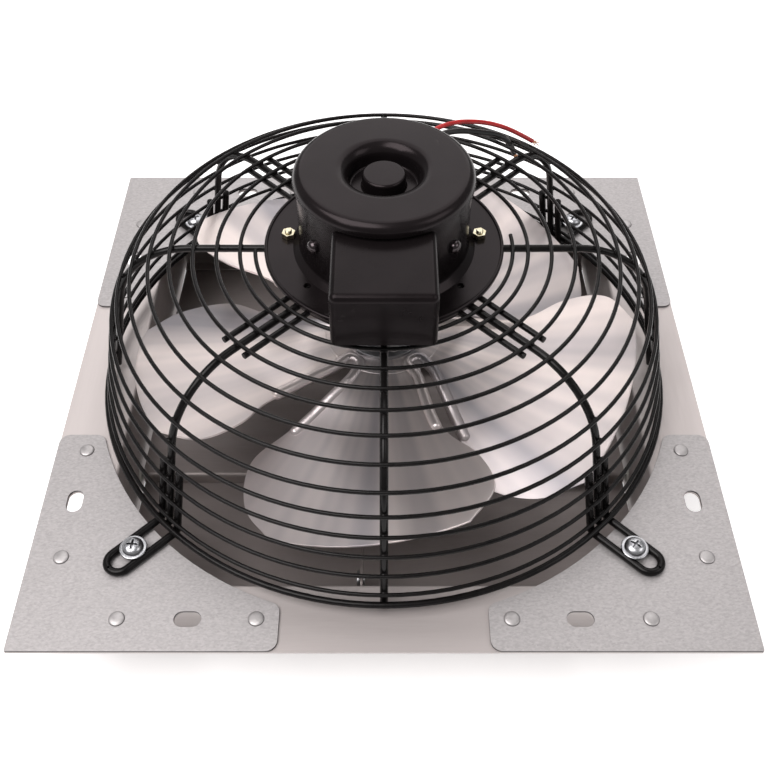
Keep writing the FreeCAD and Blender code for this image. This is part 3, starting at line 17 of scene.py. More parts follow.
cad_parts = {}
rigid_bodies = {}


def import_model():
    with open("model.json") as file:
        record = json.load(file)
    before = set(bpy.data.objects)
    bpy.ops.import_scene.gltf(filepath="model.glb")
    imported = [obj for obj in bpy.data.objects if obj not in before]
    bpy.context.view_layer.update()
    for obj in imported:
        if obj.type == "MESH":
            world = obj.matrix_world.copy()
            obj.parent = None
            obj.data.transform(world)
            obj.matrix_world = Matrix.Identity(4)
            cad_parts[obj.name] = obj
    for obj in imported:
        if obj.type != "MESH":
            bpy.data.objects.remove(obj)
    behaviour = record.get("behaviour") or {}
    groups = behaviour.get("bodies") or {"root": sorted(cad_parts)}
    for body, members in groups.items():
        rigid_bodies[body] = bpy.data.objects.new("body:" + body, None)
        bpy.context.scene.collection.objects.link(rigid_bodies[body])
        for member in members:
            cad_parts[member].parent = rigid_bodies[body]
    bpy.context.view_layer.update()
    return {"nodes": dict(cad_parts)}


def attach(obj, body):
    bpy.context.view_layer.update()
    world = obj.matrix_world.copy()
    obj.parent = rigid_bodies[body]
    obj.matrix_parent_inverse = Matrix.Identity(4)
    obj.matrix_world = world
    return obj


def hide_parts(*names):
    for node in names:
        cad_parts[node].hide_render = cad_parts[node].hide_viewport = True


Point = tuple[float, float]
Place = tuple[float, float, float]
Colour = tuple[float, float, float]
Piece = bpy.types.Object
Socket = bpy.types.NodeSocket

MM = 0.001
FULL_TURN = 2 * math.pi
QUARTERS = (0, 90, 180, 270)
DIAGONALS = (45, 135, 225, 315)
SIDES = (-1, 1)
CLOSE = 1e-6
SMOOTH_ANGLE = math.radians(38)
NOISE_DETAIL = 3.0
FIRST_HANDLE = 0.1
LAST_HANDLE = 0.3
ARC_HANDLE = 4 / 3

log = logging.getLogger("shutter_fan")


class Axis(Enum):
    """Direction along which a flat outline is drawn out into a solid."""

    X = "x"
    Z = "z"

    def place(self, across: float, up: float, along: float) -> Vector:
        """Point of an outline at a distance along the axis.

        Args:
            across: First coordinate of the outline.
            up: Second coordinate of the outline.
            along: Distance along the axis.
        Returns:
            The place in metres.
        """
        if self is Axis.X:
            return Vector((along, across, up)) * MM
        return Vector((across, up, along)) * MM


class Pattern(Enum):
    """Kind of mottling that mixes a finish's two tones."""

    CLOUD = "cloud"
    SPANGLE = "spangle"
    FAN = "fan"


class Graph:
    """Small helper that adds nodes to a material and links them to its shader."""

    def __init__(self, material: bpy.types.Material) -> None:
        """Take over a material's node tree.

        Args:
            material: The new material.
        """
        material.use_nodes = True
        self.tree = material.node_tree
        self.shader = self.tree.nodes["Principled BSDF"]

    def node(self, kind: str, **settings: object) -> bpy.types.Node:
        """Add a node.

        Args:
            kind: Blender's name of the node type.
            settings: Properties of the node.
        Returns:
            The new node.
        """
        made = self.tree.nodes.new(kind)
        for name, value in settings.items():
            setattr(made, name, value)
        return made

    def link(self, source: Socket, target: Socket) -> None:
        """Link two sockets."""
        self.tree.links.new(source, target)

    def noise(self, vector: Socket, scale: float, detail: float = NOISE_DETAIL) -> Socket:
        """Noise pattern.

        Args:
            vector: Coordinates that it reads.
            scale: Cells for each metre.
            detail: Layers of finer noise.
        Returns:
            Socket of its value.
        """
        made = self.node("ShaderNodeTexNoise")
        made.inputs["Scale"].default_value = scale
        made.inputs["Detail"].default_value = detail
        self.link(vector, made.inputs["Vector"])
        return made.outputs[0]

    def span(self, value: Socket, source: Point, target: Point) -> Socket:
        """Map a value from one range to another.

        Args:
            value: Socket of the value.
            source: Range that it has.
            target: Range that it gets.
        Returns:
            Socket of the mapped value.
        """
        made = self.node("ShaderNodeMapRange")
        for name, number in zip(("From Min", "From Max", "To Min", "To Max"), (*source, *target)):
            made.inputs[name].default_value = number
        self.link(value, made.inputs["Value"])
        return made.outputs["Result"]

    def mix(self, share: Socket, first: Socket, second: Colour) -> Socket:
        """Mix a colour with a fixed colour.

        Args:
            share: Socket of the fixed colour's share.
            first: Socket of the colour.
            second: The fixed colour.
        Returns:
            Socket of the mixed colour.
        """
        made = self.node("ShaderNodeMix", data_type="RGBA")
        inputs = {socket.identifier: socket for socket in made.inputs}
        inputs["B_Color"].default_value = (*second, 1)
        self.link(share, inputs["Factor_Float"])
        self.link(first, inputs["A_Color"])
        return next(socket for socket in made.outputs if socket.identifier == "Result_Color")


@dataclass(frozen=True)
class Finish:
    """Look of one surface: two tones mixed by a pattern, with roughness, specks and bump from finer noise."""

    name: str
    dark: Colour
    light: Colour
    metallic: float = 0.0
    roughness: Point = (0.35, 0.5)
    pattern: Pattern = Pattern.CLOUD
    scale: float = 60.0
    stretch: Place = (1, 1, 1)
    fine_scale: float = 1400.0
    fine_detail: float = 4.0
    noise_span: Point = (0.3, 0.7)
    bump: float = 0.06
    specular: float = 0.5
    gloss_tint: Colour = (1.0, 1.0, 1.0)
    brushed: float = 0.0
    streak_roughness: float = 0.55
    spangle_share: float = 0.35
    spangle_cells: float = 2.0
    specks: float = 0.0
    speck_size: float = 4.0
    speck_detail: float = 5.0
    speck_span: Point = (0.70, 0.76)
    speck_colour: Colour = (0.3, 0.29, 0.28)
    # edge darkens upright faces: partly darker cut metal, partly painted shade on edges, rivet sides and
    # recess walls
    edge: float = 0.0
    edge_and_shade_span: Point = (0.3, 0.8)
    cut_edge_and_shade_colour: Colour = (0.03, 0.028, 0.028)
    glow: float = 0.0

    def material(self) -> bpy.types.Material:
        """The finish as a material, made once.

        Returns:
            The node material.
        """
        name = "dressed_" + self.name
        known = bpy.data.materials.get(name)
        if known:
            return known
        made = bpy.data.materials.new(name)
        graph = Graph(made)
        coords = graph.node("ShaderNodeTexCoord").outputs["Object"]
        mapping = graph.node("ShaderNodeMapping")
        mapping.inputs["Scale"].default_value = self.stretch
        graph.link(coords, mapping.inputs["Vector"])
        vector = mapping.outputs["Vector"]
        colour = self.colour(graph, coords, vector)
        fine = graph.noise(vector, self.fine_scale, self.fine_detail)
        relief = graph.node("ShaderNodeBump")
        relief.inputs["Strength"].default_value = self.bump
        relief.inputs["Distance"].default_value = MM
        graph.link(fine, relief.inputs["Height"])
        inputs = graph.shader.inputs
        graph.link(colour, inputs["Base Color"])
        graph.link(graph.span(fine, self.noise_span, self.roughness), inputs["Roughness"])
        graph.link(relief.outputs["Normal"], inputs["Normal"])
        inputs["Metallic"].default_value = self.metallic
        inputs["Specular IOR Level"].default_value = self.specular
        inputs["Specular Tint"].default_value = (*self.gloss_tint, 1)
        inputs["Emission Color"].default_value = (*self.light, 1)
        inputs["Emission Strength"].default_value = self.glow
        if self.brushed:
            inputs["Anisotropic"].default_value = self.brushed
            tangent = graph.node("ShaderNodeTangent", direction_type="RADIAL", axis="Z")
            graph.link(tangent.outputs["Tangent"], inputs["Tangent"])
        return made

    def colour(self, graph: Graph, coords: Socket, vector: Socket) -> Socket:
        """Two tones, specks and dark upright faces, partly darker cut metal and partly painted shade.

        Args:
            graph: The material's node helper.
            coords: Coordinates of the piece.
            vector: Coordinates stretched along the finish's grain.
        Returns:
            Socket of the colour.
        """
        ramp = graph.node("ShaderNodeValToRGB")
        for element, place, tone in zip(ramp.color_ramp.elements, self.noise_span, (self.dark, self.light)):
            element.position = place
            element.color = (*tone, 1)
        graph.link(self.tone(graph, vector), ramp.inputs["Fac"])
        colour = ramp.outputs["Color"]
        if self.specks:
            spots = graph.noise(coords, self.fine_scale / self.speck_size, self.speck_detail)
            share = graph.span(spots, self.speck_span, (0.0, self.specks))
            colour = graph.mix(share, colour, self.speck_colour)
        # Painted shade on upright faces, mixed with the darker colour of cut metal
        if self.edge:
            colour = graph.mix(self.upright(graph), colour, self.cut_edge_and_shade_colour)
        return colour

    def upright(self, graph: Graph) -> Socket:
        """Share of the dark edge colour, full on upright faces and none on level faces: partly darker cut
        metal, partly painted shade.

        Args:
            graph: The material's node helper.
        Returns:
            Socket of the share.
        """
        parts = graph.node("ShaderNodeSeparateXYZ")
        graph.link(graph.node("ShaderNodeTexCoord").outputs["Normal"], parts.inputs[0])
        level = graph.node("ShaderNodeMath", operation="ABSOLUTE")
        graph.link(parts.outputs["Z"], level.inputs[0])
        return graph.span(level.outputs[0], self.edge_and_shade_span, (self.edge, 0.0))

    def tone(self, graph: Graph, vector: Socket) -> Socket:
        """Pattern value that mixes the two tones.

        Args:
            graph: The material's node helper.
            vector: Coordinates that the pattern reads.
        Returns:
            Socket of the pattern's value.
        """
        if self.pattern is Pattern.FAN:
            return self.fan_tone(graph, vector)
        cloud = graph.noise(vector, self.scale)
        if self.pattern is Pattern.CLOUD:
            return cloud
        cells = graph.node("ShaderNodeTexVoronoi")
        cells.inputs["Scale"].default_value = self.scale * self.spangle_cells
        graph.link(vector, cells.inputs["Vector"])
        blend = graph.node("ShaderNodeMath", operation="MULTIPLY_ADD")
        blend.inputs[1].default_value = self.spangle_share
        graph.link(cells.outputs["Color"], blend.inputs[0])
        graph.link(graph.span(cloud, (0.0, 1.0), (0.0, 1 - self.spangle_share)), blend.inputs[2])
        return blend.outputs[0]

    def fan_tone(self, graph: Graph, vector: Socket) -> Socket:
        """Streaks that fan out from the axis, as on sheet brushed round its centre, partly brushing grain and
        partly painted reflection.

        Args:
            graph: The material's node helper.
            vector: Coordinates about the axis.
        Returns:
            Socket of the pattern's value.
        """
        angle = graph.node("ShaderNodeTexGradient", gradient_type="RADIAL")
        graph.link(vector, angle.inputs["Vector"])
        streaks = graph.node("ShaderNodeTexNoise", noise_dimensions="1D")
        streaks.inputs["Scale"].default_value = self.scale
        streaks.inputs["Detail"].default_value = NOISE_DETAIL
        streaks.inputs["Roughness"].default_value = self.streak_roughness
        graph.link(angle.outputs["Fac"], streaks.inputs["W"])
        return streaks.outputs[0]


# Sheet and wire of the frame and the guard
# The two rail finishes are lit and shaded copies of one aluminium: the side rails' tones are painted lighter
# than the front and back rails'
RAIL_X_PAINTED_SHADE = Finish(
    "rail_aluminium_along_x_painted_shade", (0.40, 0.366, 0.359), (0.49, 0.452, 0.443), metallic=0.35,
    roughness=(0.40, 0.55), scale=30, stretch=(0.06, 1, 1), fine_scale=900, bump=0.05)
RAIL_Y_PAINTED_LIGHT = replace(
    RAIL_X_PAINTED_SHADE, name="rail_aluminium_along_y_painted_light", dark=(0.49, 0.449, 0.440), light=(0.60, 0.553, 0.542),
    stretch=(1, 0.06, 1))
# edge darkens the plates' cut edges: partly darker bare steel, partly painted shade
GALVANISED = Finish(
    "galvanised_steel", (0.370, 0.355, 0.357), (0.478, 0.460, 0.462), metallic=0.4, roughness=(0.40, 0.55),
    pattern=Pattern.SPANGLE, scale=800, stretch=(0.5, 1, 1), fine_scale=1100, specks=0.25, edge=0.85)
# edge darkens the rivets' steep sides: painted shade round each head
RIVET = Finish(
    "rivet_aluminium", (0.40, 0.385, 0.385), (0.50, 0.485, 0.485), metallic=0.6, roughness=(0.34, 0.46),
    scale=300, edge=0.7)
# edge darkens upright faces: painted shade in the screws' cross recesses and on the sides of screws and nuts
ZINC = Finish(
    "zinc_plate", (0.46, 0.47, 0.50), (0.64, 0.65, 0.67), metallic=1.0, roughness=(0.24, 0.36), scale=250,
    bump=0.03, edge=0.8)
WIRE = Finish(
    "black_wire", (0.004, 0.0036, 0.0036), (0.008, 0.0072, 0.0072), roughness=(0.18, 0.28), scale=120,
    fine_scale=700, bump=0.04, specular=0.17)

# Motor
PAINT = Finish(
    "motor_black", (0.0052, 0.0041, 0.0044), (0.0086, 0.0069, 0.0073), roughness=(0.20, 0.25), scale=45,
    fine_scale=260, bump=0.012, specular=0.185, gloss_tint=(1.0, 0.86, 0.90), specks=0.05)
BOX_PAINT = replace(PAINT, name="box_black", specular=0.12)
SCREW_PAINT = replace(PAINT, name="screw_black", specular=0.8, roughness=(0.12, 0.16))
YELLOW_ZINC = Finish(
    "yellow_zinc", (0.56, 0.50, 0.33), (0.78, 0.73, 0.56), metallic=1.0, roughness=(0.2, 0.34), scale=350)
RUBBER = Finish(
    "grommet_rubber", (0.006, 0.006, 0.006), (0.012, 0.011, 0.011), roughness=(0.6, 0.75), scale=200)
RED_PVC = Finish(
    "red_pvc", (0.34, 0.004, 0.006), (0.48, 0.008, 0.009), roughness=(0.28, 0.4), scale=150, bump=0.03)
BLACK_PVC = Finish(
    "black_pvc", (0.004, 0.004, 0.004), (0.009, 0.0085, 0.009), roughness=(0.32, 0.45), scale=150)
COPPER = Finish(
    "copper", (0.50, 0.22, 0.10), (0.72, 0.38, 0.20), metallic=1.0, roughness=(0.25, 0.4), scale=300)
CORE_IRON = Finish(
    "core_iron", (0.10, 0.095, 0.095), (0.17, 0.16, 0.16), metallic=0.8, roughness=(0.45, 0.6), scale=90)
BEARING = Finish(
    "bearing_steel", (0.50, 0.50, 0.52), (0.66, 0.66, 0.68), metallic=1.0, roughness=(0.15, 0.25), scale=200)
CAPACITOR = Finish(
    "capacitor_case", (0.20, 0.21, 0.225), (0.28, 0.29, 0.31), roughness=(0.45, 0.6), scale=120)

# Impeller, shutter and floor
# Fan streaks are partly brushing grain and partly painted reflection: the bluish dark tone stands in for the
# dark motor reflected in the blades
BLADE = Finish(
    "blade_aluminium", (0.39, 0.370, 0.394), (0.87, 0.778, 0.746), metallic=0.72, roughness=(0.31, 0.35),
    pattern=Pattern.FAN, scale=15, fine_scale=350, bump=0.002, brushed=0.6)
HUB = Finish(
    "hub_steel", (0.24, 0.24, 0.25), (0.36, 0.36, 0.37), metallic=1.0, roughness=(0.3, 0.45), scale=80,
    stretch=(1, 1, 6))
STEEL = Finish(
    "plain_steel", (0.32, 0.32, 0.33), (0.46, 0.46, 0.47), metallic=1.0, roughness=(0.26, 0.42), scale=150)
# Dark brownish louvre tones are painted shade of the box's inside, used on the louvres, tie bar and stop
LOUVRE_PAINTED_SHADE = Finish(
    "louvre_aluminium", (0.24, 0.212, 0.205), (0.33, 0.295, 0.285), metallic=0.5, roughness=(0.40, 0.56),
    scale=26, stretch=(0.08, 1, 1), fine_scale=900, bump=0.05)
NYLON = Finish("nylon", (0.60, 0.59, 0.54), (0.70, 0.69, 0.65), roughness=(0.4, 0.5), scale=200)
FLOOR = Finish(
    "studio_floor", (0.92, 0.92, 0.92), (0.95, 0.95, 0.95), roughness=(0.7, 0.8), scale=3, bump=0.01,
    glow=0.38)

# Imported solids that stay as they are, by node
KEPT_NODES = {
    "guard_nuts": ZINC,
    "stator_core": CORE_IRON,
    "stator_windings": COPPER,
    "rotor_core": CORE_IRON,
    "motor_shaft": STEEL,
    "front_bearing": BEARING,
    "rear_bearing": BEARING,
    "run_capacitor": CAPACITOR,
    "hub_set_screw": STEEL,
    "louvre_1_hinge_rod": STEEL,
    "louvre_2_hinge_rod": STEEL,
    "louvre_3_hinge_rod": STEEL,
}


@dataclass(frozen=True)
class Edge:
    """How sharp edges are broken: width of the rounding, its steps and the least turn that gets it."""

    width: float
    steps: int = 2
    least_turn: float = 45.0


MOULDED_EDGE = Edge(0.4, least_turn=30)
FOLDED_EDGE = Edge(0.25, steps=1, least_turn=50)
SHEARED_EDGE = Edge(0.35, least_turn=40)
RECESS_EDGE = Edge(0.15, steps=1)
HEXAGON_EDGE = Edge(0.35)
TRAY_EDGE = Edge(0.25, steps=1)
DRAWN_EDGE = Edge(0.3)
BLADE_EDGE = Edge(0.3, least_turn=60)
LEAF_EDGE = Edge(0.2, steps=1, least_turn=50)
STAMPED_EDGE = Edge(0.25)


def pick(*pieces: Piece) -> None:
    """Make pieces the only selected objects, with the first of them active.

    Args:
        pieces: The pieces, or none to deselect everything.
    """
    bpy.ops.object.select_all(action="DESELECT")
    for piece in pieces:
        piece.select_set(True)
    if pieces:
        bpy.context.view_layer.objects.active = pieces[0]


@contextmanager
def editing(piece: Piece) -> Iterator[None]:
    """Edit mode on one piece, with all of it selected.

    Args:
        piece: The mesh to edit.
    Returns:
        The span of edit mode, which hands out nothing.
    """
    pick(piece)
    bpy.ops.object.mode_set(mode="EDIT")
    bpy.ops.mesh.select_all(action="SELECT")
    yield
    bpy.ops.object.mode_set(mode="OBJECT")


def taken(name: str) -> Piece:
    """The object that an operator has just added, renamed.

    Args:
        name: Its new name.
    Returns:
        The object.
    """
    piece = bpy.context.object
    piece.name = name
    piece.data.name = name
    return piece


def closed_line(name: str, places: Sequence[Vector], filled: bool) -> Piece:
    """Loop of edges through places.

    Args:
        name: Name of the piece.
        places: Corners in metres.
        filled: Whether the loop is one face.
    Returns:
        The loop.
    """
    pick()
    bpy.ops.mesh.primitive_circle_add(vertices=len(places), fill_type="NGON" if filled else "NOTHING")
    piece = taken(name)
    for vertex, place in zip(piece.data.vertices, places):
        vertex.co = place
    return piece


def prism(name: str, outline: Sequence[Point], low: float, high: float, axis: Axis = Axis.Z) -> Piece:
    """Flat outline drawn out along an axis.

    Args:
        name: Name of the piece.
        outline: Corners of the outline.
        low: Start along the axis.
        high: End along the axis.
        axis: Direction of the draw.
    Returns:
        The closed solid.
    """
    piece = closed_line(name, [axis.place(across, up, low) for across, up in outline], filled=True)
    with editing(piece):
        move = axis.place(0, 0, high - low)
        bpy.ops.mesh.extrude_region_move(TRANSFORM_OT_translate={"value": move})
        bpy.ops.mesh.select_all(action="SELECT")
        bpy.ops.mesh.normals_make_consistent(inside=False)
    return piece


def lathe(name: str, profile: Sequence[Point], steps: int) -> Piece:
    """Closed profile of radius and height spun about Z.

    Args:
        name: Name of the piece.
        profile: Corners of the profile, in order.
        steps: Steps of the full turn.
    Returns:
        The closed solid.
    """
    places = [Vector((radius, 0, level)) * MM for radius, level in profile]
    piece = closed_line(name, places, filled=False)
    with editing(piece):
        bpy.ops.mesh.spin(steps=steps, angle=FULL_TURN, center=(0, 0, 0), axis=(0, 0, 1))
        bpy.ops.mesh.select_all(action="SELECT")
        bpy.ops.mesh.remove_doubles(threshold=CLOSE)
        bpy.ops.mesh.delete_loose()
        bpy.ops.mesh.select_all(action="SELECT")
        bpy.ops.mesh.normals_make_consistent(inside=False)
    return piece


def arc(centre: Point, radius: float, start: float, end: float, steps: int) -> list[Point]:
    """Points of a circular arc.

    Args:
        centre: Centre of the arc.
        radius: Its radius.
        start: Angle of the first point.
        end: Angle of the last point.
        steps: Steps between them.
    Returns:
        The points in order.
    """
    angles = [math.radians(start + (end - start) * step / steps) for step in range(steps + 1)]
    return [(centre[0] + radius * math.cos(turn), centre[1] + radius * math.sin(turn)) for turn in angles]


def raised(profile: Sequence[Point], level: float) -> list[Point]:
    """Profile of radius and height moved up to a level."""
    return [(radius, level + height) for radius, height in profile]


def rounded(corners: Sequence[Point], radii: Sequence[float], steps: int) -> list[Point]:
    """Closed outline with each corner rounded by its own radius.

    Args:
        corners: Corners in order.
        radii: Radius at each corner, zero where it stays sharp.
        steps: Steps of each rounding.
    Returns:
        Points of the rounded outline.
    """
    points: list[Point] = []
    count = len(corners)
    for index, radius in enumerate(radii):
        corner = Vector(corners[index])
        if not radius:
            points.append(tuple(corner))
            continue
        back = (Vector(corners[index - 1]) - corner).normalized()
        ahead = (Vector(corners[(index + 1) % count]) - corner).normalized()
        half = back.angle(ahead) / 2
        centre = corner + (back + ahead).normalized() * (radius / math.sin(half))
        first = corner + back * (radius / math.tan(half)) - centre
        last = corner + ahead * (radius / math.tan(half)) - centre
        for step in range(steps + 1):
            points.append(tuple(centre + first.slerp(last, step / steps) * radius))
    return points


def apply_modifier(piece: Piece, modifier: bpy.types.Modifier) -> None:
    """Apply one modifier to the piece's mesh."""
    pick(piece)
    bpy.ops.object.modifier_apply(modifier=modifier.name)


def soften(piece: Piece, edge: Edge) -> Piece:
    """Round the sharp edges of a piece.

    Args:
        piece: The piece.
        edge: How its edges are broken.
    Returns:
        The same piece.
    """
    bevel = piece.modifiers.new("soft_edges", "BEVEL")
    bevel.width = edge.width * MM
    bevel.segments = edge.steps
    bevel.limit_method = "ANGLE"
    bevel.angle_limit = math.radians(edge.least_turn)
    apply_modifier(piece, bevel)
    return piece


def carve(piece: Piece, *cutters: Piece) -> Piece:
    """Cut pieces out of a piece and remove the cutters.

    Args:
        piece: The piece.
        cutters: What is cut out of it.
    Returns:
        The same piece.
    """
    for cutter in cutters:
        cut = piece.modifiers.new("cut", "BOOLEAN")
        cut.operation = "DIFFERENCE"
        cut.solver = "EXACT"
        cut.object = cutter
        apply_modifier(piece, cut)
        bpy.data.objects.remove(cutter)
    return piece


def turn_z(degrees: float) -> Matrix:
    """Turn about the fan axis."""
    return Matrix.Rotation(math.radians(degrees), 4, "Z")


def turn_y(degrees: float) -> Matrix:
    """Turn about the Y axis."""
    return Matrix.Rotation(math.radians(degrees), 4, "Y")


def shift(place: Place) -> Matrix:
    """Move to a place given in millimetres."""
    return Matrix.Translation(Vector(place) * MM)


def around(radius: float, degrees: float, level: float = 0.0) -> Matrix:
    """Move to a radius and angle about the fan axis, turned to face outwards."""
    return turn_z(degrees) @ shift((radius, 0, level))


def facing_out(radius: float, degrees: float, level: float) -> Matrix:
    """Stand a spun piece on the motor's side, its axis pointing outwards."""
    return around(radius, degrees, level) @ turn_y(90)


def joined(name: str, pieces: Sequence[Piece]) -> Piece:
    """Join pieces into one.

    Args:
        name: Name of the joined piece.
        pieces: The pieces.
    Returns:
        The joined piece.
    """
    pick(*pieces)
    if len(pieces) > 1:
        bpy.ops.object.join()
    return taken(name)


def repeated(piece: Piece, moves: Sequence[Matrix]) -> Piece:
    """Copies of a piece at several moves, joined into one piece that keeps its name.

    Args:
        piece: The piece, which the copies take the place of.
        moves: Move of each copy.
    Returns:
        The joined piece.
    """
    name = piece.name
    made = []
    for move in moves:
        copy = piece.copy()
        copy.data = piece.data.copy()
        copy.data.transform(move)
        bpy.context.collection.objects.link(copy)
        made.append(copy)
    bpy.data.objects.remove(piece)
    return joined(name, made)


def round_curve(name: str, diameter: float, sides: int, steps: int) -> Piece:
    """Round curve with no spline yet.

    Args:
        name: Name of the piece.
        diameter: Its diameter.
        sides: Fineness of its round section.
        steps: Steps between control points.
    Returns:
        The curve object.
    """
    curve = bpy.data.curves.new(name, "CURVE")
    curve.dimensions = "3D"
    curve.bevel_depth = diameter / 2 * MM
    curve.bevel_resolution = sides
    curve.resolution_u = steps
    curve.use_fill_caps = True
    piece = bpy.data.objects.new(name, curve)
    bpy.context.collection.objects.link(piece)
    return piece


def wire(name: str, corners: Sequence[Place], diameter: float, bends: Sequence[float] = (),
         fine: int = 10) -> Piece:
    """Round wire through corners, each inner one bent by its radius.

    Args:
        name: Name of the piece.
        corners: Places that the wire's straight runs meet at.
        diameter: Wire diameter.
        bends: Bend radius at each inner corner.
        fine: Steps of each run and bend.
    Returns:
        The wire as a mesh.
    """
    places = [Vector(corner) for corner in corners]
    knots = [(places[0], places[0], places[0].lerp(places[1], FIRST_HANDLE))]
    for before, corner, after, bend in zip(places, places[1:], places[2:], bends):
        back = (before - corner).normalized()
        ahead = (after - corner).normalized()
        turn = math.pi - back.angle(ahead)
        reach = bend * math.tan(turn / 2)
        pull = bend * math.tan(turn / 4) * ARC_HANDLE
        start = corner + back * reach
        end = corner + ahead * reach
        knots.append((start, start + back * pull / 2, start - back * pull))
        knots.append((end, end - ahead * pull, end + ahead * pull / 2))
    knots.append((places[-1], places[-1].lerp(knots[-1][0], LAST_HANDLE), places[-1]))
    piece = round_curve(name, diameter, sides=3, steps=fine)
    spline = piece.data.splines.new("BEZIER")
    spline.bezier_points.add(len(knots) - 1)
    for knot, (place, left, right) in zip(spline.bezier_points, knots):
        knot.handle_left_type = knot.handle_right_type = "FREE"
        knot.co = place * MM
        knot.handle_left = left * MM
        knot.handle_right = right * MM
    pick(piece)
    bpy.ops.object.convert(target="MESH")
    return taken(name)


def dress(piece: Piece, finish: Finish, slot: str, body: str, *nodes: str) -> Piece:
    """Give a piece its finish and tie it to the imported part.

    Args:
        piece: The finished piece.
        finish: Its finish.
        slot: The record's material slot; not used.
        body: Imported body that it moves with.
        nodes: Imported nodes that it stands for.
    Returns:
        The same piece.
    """
    piece.data.materials.clear()
    piece.data.materials.append(finish.material())
    if piece.type == "MESH":
        pick(piece)
        bpy.ops.object.shade_smooth_by_angle(angle=SMOOTH_ANGLE)
        flat = piece.modifiers.new("flat_faces", "WEIGHTED_NORMAL")
        flat.keep_sharp = True
        apply_modifier(piece, flat)
    if nodes:
        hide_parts(*nodes)
    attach(piece, body)
    log.info("%s rides on %s", piece.name, body)
    return piece


@dataclass(frozen=True)
class Lamp:
    """Square area light: its place, turn, side and power in watts."""

    name: str
    place: Place
    turn: Place
    side: float
    power: float


@dataclass
class Studio:
    """Camera at the photograph's angle, pale floor and soft lights."""

    lens: float = 46.35
    sensor: float = 36.0
    nearest: float = 10.0
    eye: Place = (0.0, -421.7, 531.1)
    tilt: float = 40.74
    floor_side: float = 9000.0
    sky: Colour = (1.0, 0.99, 0.985)
    sky_strength: float = 0.28
    light_colour: Colour = (1.0, 0.962, 0.955)
    lamps: tuple[Lamp, ...] = (
        Lamp("key_light", (-780, -520, 1750), (15.2, -24.0, 0), 1500, 38.0),
        Lamp("back_panel", (150, 1300, 1500), (-42, 5, 0), 2000, 17.5),
        Lamp("right_light", (1500, -500, 1300), (45, 0, 70), 1000, 5.5),
    )

    def build(self) -> None:
        """Make the camera, the floor, the lights and the sky."""
        self.camera()
        bpy.ops.mesh.primitive_plane_add(size=self.floor_side * MM)
        floor = taken("floor")
        floor.data.materials.append(FLOOR.material())
        for lamp in self.lamps:
            self.light(lamp)
        self.backdrop()

    def camera(self) -> None:
        """Make the camera, and show colours without a film look."""
        pick()
        turn = (math.radians(self.tilt), 0, 0)
        bpy.ops.object.camera_add(location=Vector(self.eye) * MM, rotation=turn)
        camera = taken("photo_camera")
        camera.data.lens = self.lens
        camera.data.sensor_width = self.sensor
        camera.data.clip_start = self.nearest * MM
        bpy.context.scene.camera = camera
        bpy.context.scene.view_settings.view_transform = "Standard"

    def light(self, lamp: Lamp) -> None:
        """Make one light.

        Args:
            lamp: Its place, turn, side and power.
        """
        angles = [math.radians(part) for part in lamp.turn]
        bpy.ops.object.light_add(type="AREA", location=Vector(lamp.place) * MM, rotation=angles)
        light = taken(lamp.name).data
        light.size = lamp.side * MM
        light.energy = lamp.power
        light.color = self.light_colour

    def backdrop(self) -> None:
        """Make the even, faint light from all round."""
        world = bpy.context.scene.world or bpy.data.worlds.new("studio")
        bpy.context.scene.world = world
        world.use_nodes = True
        sky = world.node_tree.nodes["Background"]
        sky.inputs["Color"].default_value = (*self.sky, 1)
        sky.inputs["Strength"].default_value = self.sky_strength


